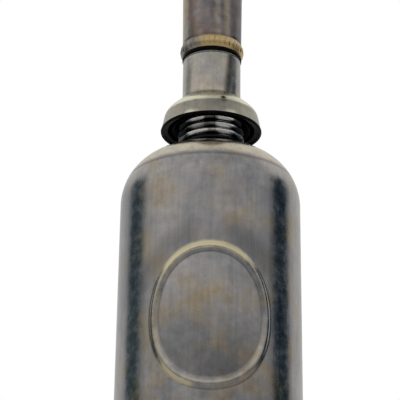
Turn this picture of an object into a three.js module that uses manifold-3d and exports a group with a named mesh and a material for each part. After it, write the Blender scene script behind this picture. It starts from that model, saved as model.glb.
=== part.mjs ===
// Fuel sampler: a metal cup with a screw neck, a hooded screw cap, and a probe tube in two lengths.
// Units are millimetres, +Z is up, the origin is the centre of the foot, and the front faces -Y.

import * as THREE from "three";
import { mergeVertices } from "three/addons/utils/BufferGeometryUtils.js";
import Module from "manifold-3d";

// Fits
const braze_gap = 0.1; // radial gap of a brazed or pressed joint
const slip_gap = 0.05; // gap between pieces that only rest on each other
const thread_gap = 0.15; // play of a thread, at its crests and across its flanks
const cut_over = 0.4; // how far a cutter runs past the wall that it cuts
const thread_foot_sink = 0.1; // how far the foot of a thread is sunk in the core that carries it

// Cup
const cup_diameter = 38.1;
const cup_wall = 0.8;
const cup_straight_top = 57.5; // height where the shoulder starts
const shoulder_radius = 12.0;
const foot_corner_radius = 0.75;
const foot_hem_width = 1.25; // how far the hem turns in past the wall
const foot_hem_thickness = 1.0;

// Oval bead pressed out of the front of the cup
const bead_half_width = 11.7; // round the wall, to the crest of the bead
const bead_half_height = 13.9;
const bead_center_height = 27.95;
const bead_squareness = 2.2; // 2 is an ellipse, larger is squarer
const bead_width = 2.6;
const bead_height = 0.45;
const panel_crown = 0.3; // how far the wall inside the bead bulges
const panel_rings = [0, 0.35, 0.7]; // shares of the way from the middle to the bead
const bead_section = [
  // share of the half width, share of the height
  [-1, 0],
  [-0.5, 0.56],
  [0, 1],
  [0.5, 0.56],
  [1, 0],
];

// Base plate
const base_plate_thickness = 0.7;
const base_plate_skirt = 1.6; // height of the skirt under the disc
const base_plate_dome = 1.2; // how far the middle rises

// Neck and its thread
const neck_bore_radius = 4.6;
const neck_thread_radius = 7.14;
const neck_thread_pitch = 1.5875; // 16 threads to the inch
const neck_thread_depth = 0.97;
const neck_thread_crest = 0.2;
const neck_thread_phase = 15; // degrees, sets where the crests pass the front
const neck_flange_radius = 7.6;
const neck_flange_thickness = 0.6;
const neck_lip_radius = 7.0; // lip peened out under the shoulder
const neck_lip_height = 0.7;
const neck_height = 9.9; // from the shoulder's land to the mouth
const neck_chamfer = 0.7;

// Hood
const hood_wall = 0.7;
const hood_edge_radius = 10.81;
const hood_edge_above_land = 5.95; // metal edge of the hood above the shoulder's land
const hood_taper = 11.5; // degrees, lean of the skirt
const hood_slope = 42; // degrees, fall of the cone
const hood_cone_top_radius = 6.95;
const hood_cone_top_above_edge = 6.6;
const hood_corner_radius = 3.6;
const hood_collar_height = 0.25; // round fillet of braze between the cone and the tube
const hood_collar_width = 0.15;
const vent_radius = 0.42;
const vent_normal = 30; // degrees, rise of the hole's axis
const vent_turn = 14.5; // degrees to the right of the front

// Rubber trim on the hood's edge
const trim_bulb_radius = 0.45;
const trim_overhang = 0.14; // how far the bulb stands out past the hood
const trim_lip_height = 1.3;
const trim_lip_thickness = 0.6;

// Cap nut and its washer
const nut_radius = 8.5;
const nut_roof = 0.6;
const nut_skirt = 3.95; // threaded length below the mouth of the neck
const nut_relief = 0.45; // plain height between the end of the thread and the mouth of the neck
const cap_washer_thickness = 1.0;
const cap_washer_bore_radius = 4.9;
const cap_washer_radius = 7.3;

// Tubes
const tube_diameter = 12.7; // half an inch
const tube_wall = 0.9;
const lower_tube_length = 10.7;
const upper_tube_length = 36.2;
const upper_tube_foot_radius = 6.5;
const upper_tube_mouth_radius = 6.9;
const upper_tube_wall = 0.8;
const mouth_edge_radius = 0.25;

// Union between the tubes
const union_nipple_wall = 0.65; // between the nipple's bore and its thread's root
const union_shank_length = 4.0; // nipple inside the lower tube
const union_flange_thickness = 0.45;
const union_washer_thickness = 0.85;
const union_washer_inset = 0.05; // from the ring's edge to the washer's
const union_thread_cover = 0.25; // sleeve left outside the ring's thread
const union_thread_pitch = 1.25;
const union_thread_depth = 0.5;
const union_thread_crest = 0.12;
const union_thread_length = 3.3;
const union_relief = 0.7; // plain height at the end of the ring's thread
const union_ring_height = 2.8;
const union_ring_overhang = 0.1; // from the upper tube's foot to the ring's edge
const union_ring_belly = 0.42; // how far the ring swells at its middle
const knurl_height = 1.9;
const knurl_depth = 0.18;
const knurl_teeth = 36;
const union_sleeve_wall = 0.5; // sleeve of the ring inside the upper tube
const union_sleeve_height = 2.0;
const strainer_ledge_width = 0.65;
const strainer_ledge_thickness = 0.4;
const strainer_thickness = 0.35;
const strainer_hole_radius = 0.55;
const strainer_hole_margin = 0.15; // from the outer holes to the ledge
const strainer_rings = 2; // rings of holes round the middle one
const strainer_hole_sides = 8;
const clip_wire_radius = 0.22;
const clip_wire_sides = 5;
const clip_open = 40; // degrees that the clip's gap spans

// Probe
const spider_below_mouth = 3.5;
const spider_height = 2.5;
const spider_rim = 0.6;
const spider_arms = 3;
const spider_turn = 30; // degrees from the right to the first arm
const spider_arm_thickness = 0.9;
const spider_hub_radius = 1.75;
const pin_radius = 1.0;
const pin_past_mouth = 3.0;
const pin_collar_radius = 1.5;
const pin_collar_height = 0.75;
const pin_nut_across_flats = 3.5;
const pin_nut_height = 1.1;
const pin_tail = 0.5; // thread that shows below the nut

// Facets
const segments = 48;
const tube_segments = 36;
const small_segments = 16;
const thread_steps = 24; // steps in one turn of a thread, and facets of what carries it
const window_facets = 12; // facets of the wall that the bead's window spans
const window_side_steps = 10;
const window_margin = 0.8; // plain wall above and below the bead, past its own width
const same_point = 1e-5; // corners nearer than this are one corner

const degrees = Math.PI / 180;
const wasm = await Module();
wasm.setup();

// Heights that several pieces share
const cup_radius = cup_diameter / 2;
const shoulder_center_radius = cup_radius - shoulder_radius;
const land_height = cup_straight_top + shoulder_radius;
const neck_root_radius = neck_thread_radius - neck_thread_depth;
const neck_mouth_height = land_height + neck_height;
const cap_washer_height = neck_mouth_height + slip_gap;
const nut_roof_height = cap_washer_height + cap_washer_thickness;
const lower_tube_foot = nut_roof_height + nut_roof;
const lower_tube_top = lower_tube_foot + lower_tube_length;
const tube_radius = tube_diameter / 2;
const union_washer_height = lower_tube_top + union_flange_thickness;
const union_ring_height_at = union_washer_height + union_washer_thickness + slip_gap;
const union_ring_top = union_ring_height_at + union_ring_height;
const upper_tube_foot = union_ring_top;
const mouth_height = upper_tube_foot + upper_tube_length;
const hood_edge_height = land_height + hood_edge_above_land;
const hood_cone_top_height = hood_edge_height + hood_cone_top_above_edge;
const sleeve_radius = upper_tube_foot_radius - upper_tube_wall - slip_gap;
const sleeve_bore_radius = sleeve_radius - union_sleeve_wall;
const union_thread_radius = sleeve_radius - union_thread_cover - thread_gap;
const union_bore_radius = union_thread_radius - union_thread_depth - union_nipple_wall;
const strainer_ledge_radius = sleeve_bore_radius - strainer_ledge_width;
const union_ring_end_radius = upper_tube_foot_radius + union_ring_overhang;
const union_washer_radius = union_ring_end_radius - union_washer_inset;
const strainer_hole_reach = strainer_ledge_radius - strainer_hole_margin - strainer_hole_radius;
const strainer_hole_spacing = strainer_hole_reach / strainer_rings;

// Shapes made by turning an outline round the axis. An outline is a list of [radius, height] points
// that runs up the outside and down the inside, and it closes on itself.

function turned(outline, count = segments) {
  const points = [...outline, outline[0]].map(([r, z]) => new THREE.Vector2(r, z));
  return new THREE.LatheGeometry(points, count).rotateX(Math.PI / 2);
}

function arc([centerR, centerZ], radius, fromDegrees, toDegrees, steps) {
  const points = [];
  for (let i = 0; i <= steps; i++) {
    const angle = (fromDegrees + ((toDegrees - fromDegrees) * i) / steps) * degrees;
    points.push([centerR + radius * Math.cos(angle), centerZ + radius * Math.sin(angle)]);
  }
  return points;
}

// A closed skin over a list of rings that each hold the same number of points. The rings either run
// round and meet again, or the first and the last are closed with flat fans.

function skin(rings, meetsItself) {
  const count = rings[0].length;
  const positions = rings.flat().flatMap((p) => [p.x, p.y, p.z]);
  const index = [];
  const last = meetsItself ? rings.length : rings.length - 1;
  for (let i = 0; i < last; i++) {
    const here = i * count;
    const next = ((i + 1) % rings.length) * count;
    for (let j = 0; j < count; j++) {
      const k = (j + 1) % count;
      index.push(here + j, here + k, next + k, here + j, next + k, next + j);
    }
  }
  if (!meetsItself) {
    const end = (rings.length - 1) * count;
    for (let j = 1; j < count - 1; j++) {
      index.push(0, j + 1, j);
      index.push(end, end + j, end + j + 1);
    }
  }
  const geometry = new THREE.BufferGeometry();
  geometry.setAttribute("position", new THREE.Float32BufferAttribute(positions, 3));
  geometry.setIndex(index);
  return geometry;
}

// Joins and cuts

function solid(geometry) {
  const bare = geometry.clone();
  bare.deleteAttribute("normal");
  bare.deleteAttribute("uv");
  const merged = mergeVertices(bare, 1e-4);
  return new wasm.Manifold(
    new wasm.Mesh({
      numProp: 3,
      vertProperties: new Float32Array(merged.attributes.position.array),
      triVerts: new Uint32Array(merged.index.array),
    }),
  );
}

function geometryOf(body) {
  const mesh = body.getMesh();
  const geometry = new THREE.BufferGeometry();
  geometry.setAttribute("position", new THREE.BufferAttribute(mesh.vertProperties, 3));
  geometry.setIndex(new THREE.BufferAttribute(mesh.triVerts, 1));
  const faceted = geometry.toNonIndexed();
  faceted.computeVertexNormals();
  return faceted;
}

// A thread's ridge: a trapezium with 60 degree flanks, wound up a right-hand helix. The same function
// makes the tool that cuts the female thread, with the play added all round.

function threadRidge({ crestRadius, rootRadius, crestWidth, pitch, fromHeight, toHeight, phase, play }) {
  const flank = Math.tan(30 * degrees);
  const topRadius = crestRadius + play;
  const topHalf = crestWidth / 2 + play * (1 / Math.cos(30 * degrees) - flank);
  const baseHalf = topHalf + (topRadius - rootRadius) * flank;
  const turns = (toHeight - fromHeight) / pitch;
  const steps = Math.ceil(turns * thread_steps);
  const rings = [];
  for (let i = 0; i <= steps; i++) {
    const turn = i / thread_steps;
    const angle = (phase + turn * 360) * degrees;
    const height = fromHeight + turn * pitch;
    const at = (radius, z) =>
      new THREE.Vector3(radius * Math.cos(angle), radius * Math.sin(angle), height + z);
    rings.push([
      at(rootRadius, -baseHalf),
      at(topRadius, -topHalf),
      at(topRadius, topHalf),
      at(rootRadius, baseHalf),
    ]);
  }
  return skin(rings.reverse(), false);
}

// Cup. Its front carries the bead in a window of the straight wall. The window's skin is a set of rings
// round the bead's centre, in coordinates of the unrolled wall: u to the right and v up.

function windowEdge() {
  const half_u = (cup_radius * window_facets * Math.PI) / segments;
  const half_v = bead_half_height + bead_width + window_margin;
  const points = [];
  const side = (i, steps) => -1 + (2 * i) / steps;
  for (let i = 0; i < window_side_steps; i++) points.push([half_u, half_v * side(i, window_side_steps)]);
  for (let i = 0; i < window_facets; i++) points.push([-half_u * side(i, window_facets), half_v]);
  for (let i = 0; i < window_side_steps; i++) points.push([-half_u, -half_v * side(i, window_side_steps)]);
  for (let i = 0; i < window_facets; i++) points.push([half_u * side(i, window_facets), -half_v]);
  return { half_u, half_v, points };
}

// Distance from the bead's centre to its crest, in the direction of u and v
function crestReach(u, v) {
  const size = Math.hypot(u, v);
  const across = Math.abs(u / size / bead_half_width) ** bead_squareness;
  const along = Math.abs(v / size / bead_half_height) ** bead_squareness;
  return (across + along) ** (-1 / bead_squareness);
}

function windowRings(radius) {
  const edge = windowEdge();
  const place = (u, v, rise) => {
    const angle = u / cup_radius;
    const r = radius + rise;
    return new THREE.Vector3(r * Math.sin(angle), -r * Math.cos(angle), bead_center_height + v);
  };
  const section = bead_section.map(([across, up]) => [(across * bead_width) / 2, up * bead_height]);
  const ring = (reach, rise) =>
    edge.points.map(([u, v]) => {
      const size = Math.hypot(u, v);
      return place((u / size) * reach(u, v), (v / size) * reach(u, v), rise);
    });
  const panel = (share) =>
    ring((u, v) => share * (crestReach(u, v) - bead_width / 2), panel_crown * (1 - share ** 2));
  return [
    ...panel_rings.map(panel),
    ...section.map(([offset, rise]) => ring((u, v) => crestReach(u, v) + offset, rise)),
    edge.points.map(([u, v]) => {
      const on_side = Math.abs(u) > edge.half_u - same_point;
      return place(u, on_side ? Math.sign(v || 1) * edge.half_v : v, 0);
    }),
  ];
}

function bottleShell() {
  const center = [shoulder_center_radius, cup_straight_top];
  const hole = neck_root_radius + braze_gap;
  const inner_radius = cup_radius - cup_wall;
  const foot_center = [cup_radius - foot_corner_radius, foot_corner_radius];
  const { half_v } = windowEdge();
  const window_foot = bead_center_height - half_v;
  const window_top = bead_center_height + half_v;
  const outline = [
    [inner_radius - foot_hem_width, 0],
    ...arc(foot_center, foot_corner_radius, -90, 0, 3),
    [cup_radius, window_foot],
    [cup_radius, window_top],
    ...arc(center, shoulder_radius, 0, 90, 10),
    [hole, land_height],
    [hole, land_height - cup_wall],
    ...arc(center, shoulder_radius - cup_wall, 90, 0, 6),
    [inner_radius, window_top],
    [inner_radius, window_foot],
    [inner_radius, foot_hem_thickness],
    [inner_radius - foot_hem_width, foot_hem_thickness],
  ];
  const triangles = [];
  const add = (...corners) => {
    const same = (p, q) => p.distanceTo(q) < same_point;
    const [a, b, c] = corners;
    if (!same(a, b) && !same(b, c) && !same(c, a)) triangles.push(a, b, c);
  };
  const at = ([radius, height], facet) => {
    const angle = (facet / segments) * 2 * Math.PI;
    return new THREE.Vector3(radius * Math.sin(angle), -radius * Math.cos(angle), height);
  };
  const half_window = window_facets / 2;
  outline.forEach((from, i) => {
    const to = outline[(i + 1) % outline.length];
    const along_window = from[0] === to[0] && Math.abs(from[1] - to[1]) === window_top - window_foot;
    for (let facet = -half_window; facet < segments - half_window; facet++) {
      if (along_window && facet < half_window) continue;
      add(at(from, facet), at(from, facet + 1), at(to, facet + 1));
      add(at(from, facet), at(to, facet + 1), at(to, facet));
    }
  });
  const fill = (rings, outward) => {
    for (let i = 0; i < rings.length - 1; i++) {
      for (let j = 0; j < rings[i].length; j++) {
        const k = (j + 1) % rings[i].length;
        const [a, b, c, d] = [rings[i][j], rings[i + 1][j], rings[i + 1][k], rings[i][k]];
        if (outward) {
          add(a, b, c);
          add(a, c, d);
        } else {
          add(a, c, b);
          add(a, d, c);
        }
      }
    }
  };
  fill(windowRings(cup_radius), true);
  fill(windowRings(inner_radius), false);
  return new THREE.BufferGeometry().setFromPoints(triangles);
}

function basePlate() {
  const radius = cup_radius - cup_wall - braze_gap;
  const disc_height = foot_hem_thickness + base_plate_skirt;
  const half_chord = radius - base_plate_thickness;
  const dome_radius = (half_chord ** 2 + base_plate_dome ** 2) / (2 * base_plate_dome);
  const dome_half_angle = Math.asin(half_chord / dome_radius) / degrees;
  const under = [0, disc_height + base_plate_dome - dome_radius];
  const outline = [
    [half_chord, foot_hem_thickness],
    [radius, foot_hem_thickness],
    [radius, disc_height + base_plate_thickness / 2],
    ...arc(under, dome_radius + base_plate_thickness, 90 - dome_half_angle, 90, 4),
    ...arc(under, dome_radius, 90, 90 - dome_half_angle, 4),
  ];
  return turned(outline, tube_segments);
}

// Neck

function neck() {
  const shank_foot = land_height - cup_wall - slip_gap - neck_lip_height;
  const flange_top = land_height + neck_flange_thickness;
  const core = [
    [neck_bore_radius, shank_foot],
    [neck_lip_radius, shank_foot],
    [neck_lip_radius, shank_foot + neck_lip_height],
    [neck_root_radius, shank_foot + neck_lip_height],
    [neck_root_radius, land_height],
    [neck_flange_radius, land_height],
    [neck_flange_radius, flange_top],
    [neck_root_radius, flange_top],
    [neck_root_radius, neck_mouth_height],
    [neck_bore_radius, neck_mouth_height],
  ];
  const ridge = threadRidge({
    crestRadius: neck_thread_radius,
    rootRadius: neck_root_radius - thread_foot_sink,
    crestWidth: neck_thread_crest,
    pitch: neck_thread_pitch,
    fromHeight: flange_top,
    toHeight: neck_mouth_height + neck_thread_pitch / 2,
    phase: neck_thread_phase,
    play: 0,
  });
  const blank = [
    [neck_root_radius - 2 * thread_foot_sink, flange_top],
    [neck_root_radius, flange_top],
    [neck_thread_radius + slip_gap, flange_top + neck_thread_depth],
    [neck_thread_radius + slip_gap, neck_mouth_height - neck_chamfer],
    [neck_thread_radius + slip_gap - neck_chamfer, neck_mouth_height],
    [neck_root_radius - 2 * thread_foot_sink, neck_mouth_height],
  ];
  const thread = solid(ridge).intersect(solid(turned(blank, thread_steps)));
  return geometryOf(solid(turned(core, thread_steps)).add(thread));
}

// Hood. The cone and the skirt are straight lines joined by a round corner, and the inside is the same
// outline moved in by the wall.

function hoodLine(inset) {
  const cone = [Math.cos((90 - hood_slope) * degrees), Math.sin((90 - hood_slope) * degrees)];
  const skirt = [Math.cos(hood_taper * degrees), Math.sin(hood_taper * degrees)];
  const cone_reach =
    hood_cone_top_radius * cone[0] + hood_cone_top_height * cone[1] - hood_corner_radius;
  const skirt_reach = hood_edge_radius * skirt[0] + hood_edge_height * skirt[1] - hood_corner_radius;
  const size = cone[0] * skirt[1] - cone[1] * skirt[0];
  const center = [
    (cone_reach * skirt[1] - skirt_reach * cone[1]) / size,
    (cone[0] * skirt_reach - skirt[0] * cone_reach) / size,
  ];
  return {
    center,
    corner: arc(center, hood_corner_radius - inset, hood_taper, 90 - hood_slope, 4),
    edge: [
      hood_edge_radius - inset / Math.cos(hood_taper * degrees),
      hood_edge_height,
    ],
    coneRadius: (height) =>
      hood_cone_top_radius -
      inset / cone[0] +
      (hood_cone_top_height - height) / Math.tan(hood_slope * degrees),
    coneHeight: (radius) =>
      hood_cone_top_height -
      (radius + inset / cone[0] - hood_cone_top_radius) * Math.tan(hood_slope * degrees),
  };
}

function hood() {
  const outer = hoodLine(0);
  const inner = hoodLine(hood_wall);
  const hole = tube_radius + braze_gap;
  const collar_top = hood_cone_top_height + hood_collar_height;
  const outline = [
    outer.edge,
    ...outer.corner,
    [hood_cone_top_radius, hood_cone_top_height],
    [hole + hood_collar_width, collar_top],
    [hole, collar_top],
    [hole, inner.coneHeight(hole)],
    ...inner.corner.reverse(),
    inner.edge,
  ];
  const drill = new THREE.CylinderGeometry(vent_radius, vent_radius, 4 * hood_wall, small_segments);
  drill.rotateX(Math.PI / 2).rotateX(-vent_normal * degrees);
  const away = hood_corner_radius - hood_wall / 2;
  drill.translate(
    0,
    -(outer.center[0] + away * Math.cos(vent_normal * degrees)),
    outer.center[1] + away * Math.sin(vent_normal * degrees),
  );
  drill.rotateZ(vent_turn * degrees);
  return geometryOf(solid(turned(outline)).subtract(solid(drill)));
}

function hoodTrim() {
  const inner = hoodLine(hood_wall);
  const lean = Math.tan(hood_taper * degrees);
  const lip_out = inner.edge[0] - slip_gap;
  const lip_in = lip_out - trim_lip_thickness;
  const center = [
    hood_edge_radius + trim_overhang - trim_bulb_radius,
    hood_edge_height - trim_bulb_radius + slip_gap,
  ];
  const outline = [
    ...arc(center, trim_bulb_radius, -180, 40, 7),
    [hood_edge_radius - slip_gap, hood_edge_height - slip_gap],
    [lip_out, hood_edge_height - slip_gap],
    [lip_out - trim_lip_height * lean, hood_edge_height + trim_lip_height],
    [lip_in - trim_lip_height * lean, hood_edge_height + trim_lip_height],
  ];
  return turned(outline);
}

// Cap nut

function capNut() {
  const inside = hoodLine(hood_wall + braze_gap);
  const foot = neck_mouth_height - nut_skirt;
  const bore = neck_root_radius + thread_gap + slip_gap;
  const recess = cap_washer_radius + braze_gap;
  const outline = [
    [bore, foot],
    [nut_radius, foot],
    [nut_radius, inside.coneHeight(nut_radius)],
    [inside.coneRadius(lower_tube_foot), lower_tube_foot],
    [neck_bore_radius, lower_tube_foot],
    [neck_bore_radius, nut_roof_height + slip_gap],
    [recess, nut_roof_height + slip_gap],
    [recess, neck_mouth_height - nut_relief],
    [bore, neck_mouth_height - nut_relief],
  ];
  const flange_top = land_height + neck_flange_thickness;
  const cutter = threadRidge({
    crestRadius: neck_thread_radius,
    rootRadius: bore - cut_over,
    crestWidth: neck_thread_crest,
    pitch: neck_thread_pitch,
    fromHeight: flange_top + neck_thread_pitch * 2,
    toHeight: neck_mouth_height + neck_thread_pitch / 4,
    phase: neck_thread_phase,
    play: thread_gap,
  });
  return geometryOf(solid(turned(outline, thread_steps)).subtract(solid(cutter)));
}

function capWasher() {
  const outline = ringOutline(
    cap_washer_bore_radius,
    cap_washer_radius,
    cap_washer_height,
    cap_washer_thickness,
  );
  return turned(outline, tube_segments);
}

function ringOutline(inner, outer, foot, height) {
  return [
    [inner, foot],
    [outer, foot],
    [outer, foot + height],
    [inner, foot + height],
  ];
}

// Tubes and their union

function lowerTube() {
  return turned(
    ringOutline(tube_radius - tube_wall, tube_radius, lower_tube_foot, lower_tube_length),
    tube_segments,
  );
}

function unionNipple() {
  const shank = tube_radius - tube_wall - slip_gap;
  const root = union_thread_radius - union_thread_depth;
  const thread_foot = union_ring_height_at;
  const top = thread_foot + union_thread_length;
  const core = [
    [union_bore_radius, lower_tube_top - union_shank_length],
    [shank, lower_tube_top - union_shank_length],
    [shank, lower_tube_top],
    [tube_radius, lower_tube_top],
    [tube_radius, union_washer_height],
    [root, union_washer_height],
    [root, top],
    [union_bore_radius, top],
  ];
  const ridge = threadRidge({
    crestRadius: union_thread_radius,
    rootRadius: root - thread_foot_sink,
    crestWidth: union_thread_crest,
    pitch: union_thread_pitch,
    fromHeight: union_washer_height,
    toHeight: top + union_thread_pitch / 2,
    phase: 0,
    play: 0,
  });
  const blank = [
    [root - 2 * thread_foot_sink, thread_foot - union_thread_depth],
    [root, thread_foot - union_thread_depth],
    [union_thread_radius + slip_gap, thread_foot],
    [union_thread_radius + slip_gap, top - union_thread_depth],
    [root, top],
    [root - 2 * thread_foot_sink, top],
  ];
  const thread = solid(ridge).intersect(solid(turned(blank, thread_steps)));
  return geometryOf(solid(turned(core, thread_steps)).add(thread));
}

function unionWasher() {
  const bore = union_thread_radius + thread_gap;
  return turned(
    ringOutline(bore, union_washer_radius, union_washer_height, union_washer_thickness),
    tube_segments,
  );
}

function unionRing() {
  const bore = union_thread_radius - union_thread_depth + thread_gap;
  const relief = union_thread_radius + thread_gap;
  const middle = union_ring_height_at + union_ring_height / 2;
  const ledge_foot = union_ring_height_at + union_thread_length + slip_gap;
  const ledge_top = ledge_foot + strainer_ledge_thickness;
  const sleeve_top = union_ring_top + union_sleeve_height;
  const belly = (height) =>
    union_ring_end_radius +
    union_ring_belly * (1 - ((height - middle) / (union_ring_height / 2)) ** 2);
  const points = 2 * knurl_teeth;
  const ring = (radius, height, depth) =>
    Array.from({ length: points }, (_, i) => {
      const r = radius - (i % 2) * depth;
      const angle = (i / points) * 2 * Math.PI;
      return new THREE.Vector3(r * Math.cos(angle), r * Math.sin(angle), height);
    });
  const band_foot = middle - knurl_height / 2;
  const band_top = middle + knurl_height / 2;
  const heights = [band_foot, middle, band_top];
  const rings = [
    ring(union_ring_end_radius, union_ring_height_at, 0),
    ring(belly(band_foot) - knurl_depth, band_foot - knurl_depth, 0),
    ...heights.map((height) => ring(belly(height), height, knurl_depth)),
    ring(belly(band_top) - knurl_depth, band_top + knurl_depth, 0),
    ring(union_ring_end_radius, union_ring_top, 0),
  ];
  const sleeve = ringOutline(
    strainer_ledge_radius,
    sleeve_radius,
    union_ring_top - thread_foot_sink,
    union_sleeve_height + thread_foot_sink,
  );
  const hollow = [
    [0, union_ring_height_at - cut_over],
    [bore, union_ring_height_at - cut_over],
    [bore, ledge_foot - union_relief],
    [relief, ledge_foot - union_relief],
    [relief, ledge_foot],
    [strainer_ledge_radius, ledge_foot],
    [strainer_ledge_radius, ledge_top],
    [sleeve_bore_radius, ledge_top],
    [sleeve_bore_radius, sleeve_top + cut_over],
    [0, sleeve_top + cut_over],
  ];
  const cutter = threadRidge({
    crestRadius: union_thread_radius,
    rootRadius: bore - cut_over,
    crestWidth: union_thread_crest,
    pitch: union_thread_pitch,
    fromHeight: union_washer_height,
    toHeight: ledge_foot - union_thread_pitch / 4,
    phase: 0,
    play: thread_gap,
  });
  return geometryOf(
    solid(skin(rings, false))
      .add(solid(turned(sleeve, tube_segments)))
      .subtract(solid(turned(hollow, thread_steps)))
      .subtract(solid(cutter)),
  );
}

const strainer_foot =
  union_ring_height_at + union_thread_length + slip_gap + strainer_ledge_thickness;

function strainer() {
  const radius = sleeve_bore_radius - slip_gap;
  const disc = new THREE.CylinderGeometry(radius, radius, strainer_thickness, tube_segments);
  disc.rotateX(Math.PI / 2).translate(0, 0, strainer_foot + strainer_thickness / 2);
  let plate = solid(disc);
  for (let q = -strainer_rings; q <= strainer_rings; q++) {
    for (let r = -strainer_rings; r <= strainer_rings; r++) {
      if (Math.abs(q + r) > strainer_rings) continue;
      const x = strainer_hole_spacing * (q + r / 2);
      const y = strainer_hole_spacing * r * Math.sin(60 * degrees);
      const hole = new THREE.CylinderGeometry(
        strainer_hole_radius,
        strainer_hole_radius,
        strainer_thickness + 2 * cut_over,
        strainer_hole_sides,
      );
      hole.rotateX(Math.PI / 2).translate(x, y, strainer_foot + strainer_thickness / 2);
      plate = plate.subtract(solid(hole));
    }
  }
  return geometryOf(plate);
}

// A spring wire ring with a gap, sprung into the sleeve above the strainer
function strainerClip() {
  const radius = sleeve_bore_radius - slip_gap - clip_wire_radius;
  const height = strainer_foot + strainer_thickness + slip_gap + clip_wire_radius;
  const steps = small_segments;
  const around = 360 - 360 / clip_wire_sides;
  const rings = [];
  for (let i = 0; i <= steps; i++) {
    const angle = (clip_open / 2 + ((360 - clip_open) * i) / steps) * degrees;
    rings.push(
      arc([radius, height], clip_wire_radius, 0, around, clip_wire_sides - 1).map(
        ([r, z]) => new THREE.Vector3(r * Math.cos(angle), r * Math.sin(angle), z),
      ),
    );
  }
  return skin(rings.reverse(), false);
}

function upperTubeRadius(height) {
  const share = (height - upper_tube_foot) / upper_tube_length;
  return upper_tube_foot_radius + (upper_tube_mouth_radius - upper_tube_foot_radius) * share;
}

function upperTube() {
  const outline = [
    [upper_tube_foot_radius - upper_tube_wall, upper_tube_foot],
    [upper_tube_foot_radius, upper_tube_foot],
    [upper_tube_mouth_radius, mouth_height - mouth_edge_radius],
    [upper_tube_mouth_radius - mouth_edge_radius, mouth_height],
    [upper_tube_mouth_radius - upper_tube_wall, mouth_height],
  ];
  return turned(outline, tube_segments);
}

// Probe

const spider_top = mouth_height - spider_below_mouth;

function probeSpider() {
  const foot = spider_top - spider_height;
  const outer = upperTubeRadius(foot) - upper_tube_wall - slip_gap;
  const inner = outer - spider_rim;
  const bore = pin_radius + slip_gap;
  let body = solid(turned(ringOutline(inner, outer, foot, spider_height), tube_segments));
  const hub = solid(turned(ringOutline(bore, spider_hub_radius, foot, spider_height), small_segments));
  const arm_in = (bore + spider_hub_radius) / 2;
  const arm_out = (inner + outer) / 2;
  for (let i = 0; i < spider_arms; i++) {
    const arm = new THREE.BoxGeometry(arm_out - arm_in, spider_arm_thickness, spider_height);
    arm.translate((arm_in + arm_out) / 2, 0, foot + spider_height / 2);
    arm.rotateZ((spider_turn + (i * 360) / spider_arms) * degrees);
    body = body.add(solid(arm));
  }
  return geometryOf(body.add(hub));
}

function probePin() {
  const nut_top = spider_top - spider_height - slip_gap;
  const foot = nut_top - pin_nut_height - pin_tail;
  const tip = mouth_height + pin_past_mouth;
  const outline = [
    [0, foot],
    [pin_radius, foot],
    [pin_radius, spider_top + slip_gap],
    [pin_collar_radius, spider_top + slip_gap],
    [pin_collar_radius, spider_top + pin_collar_height],
    ...arc([0, tip - pin_radius], pin_radius, 0, 90, 4),
  ];
  return turned(outline, small_segments);
}

function pinNut() {
  const top = spider_top - spider_height - slip_gap;
  const corner = pin_nut_across_flats / 2 / Math.cos(30 * degrees);
  const outline = new THREE.Shape();
  for (let i = 0; i < 6; i++) {
    const angle = i * 60 * degrees;
    const x = corner * Math.cos(angle);
    const y = corner * Math.sin(angle);
    if (i === 0) outline.moveTo(x, y);
    else outline.lineTo(x, y);
  }
  const bore = new THREE.Path();
  bore.absarc(0, 0, pin_radius + slip_gap, 0, 2 * Math.PI, true);
  outline.holes.push(bore);
  const geometry = new THREE.ExtrudeGeometry(outline, {
    depth: pin_nut_height,
    bevelEnabled: false,
    curveSegments: small_segments,
  });
  return geometry.translate(0, 0, top - pin_nut_height);
}

// Materials

const metal = (color, roughness) =>
  new THREE.MeshStandardMaterial({ color, roughness, metalness: 1 });
const tarnished_plate = metal(0x8f8d86, 0.42);
const worn_plate = metal(0x96938a, 0.38);
const bare_brass = metal(0xb08d4a, 0.45);
const dark_metal = metal(0x3a3a3c, 0.4);
const black_rubber = new THREE.MeshStandardMaterial({ color: 0x121212, roughness: 0.6, metalness: 0 });

// Assembly

const sampler = new THREE.Group();

function piece(name, geometry, material) {
  const mesh = new THREE.Mesh(geometry, material);
  mesh.name = name;
  sampler.add(mesh);
}

piece("bottle_shell", bottleShell(), tarnished_plate);
piece("base_plate", basePlate(), tarnished_plate);
piece("neck", neck(), dark_metal);
piece("hood", hood(), worn_plate);
piece("hood_trim", hoodTrim(), black_rubber);
piece("cap_nut", capNut(), dark_metal);
piece("cap_washer", capWasher(), black_rubber);
piece("lower_tube", lowerTube(), worn_plate);
piece("union_nipple", unionNipple(), bare_brass);
piece("union_washer", unionWasher(), black_rubber);
piece("union_ring", unionRing(), bare_brass);
piece("strainer", strainer(), bare_brass);
piece("strainer_clip", strainerClip(), tarnished_plate);
piece("upper_tube", upperTube(), worn_plate);
piece("probe_spider", probeSpider(), bare_brass);
piece("probe_pin", probePin(), worn_plate);
piece("pin_nut", pinNut(), bare_brass);

export default sampler;
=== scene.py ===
# %% [markdown]
# # A fuel sampler with a screw-on probe, dressed in Blender
# A pilot screws this probe on a metal bottle and pushes its mouth against a drain under the wing. The
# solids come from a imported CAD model, which this lesson calls the frame. Each step below looks at one
# piece of the real object, says how it could be made, and then makes a finer piece that takes the place
# of the plain solid. Everything is in metres, +Z is up, and the front with the oval bead faces -Y.

# %% Load the frame
import math

import bmesh
import bpy
from mathutils import Matrix, Vector


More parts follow.
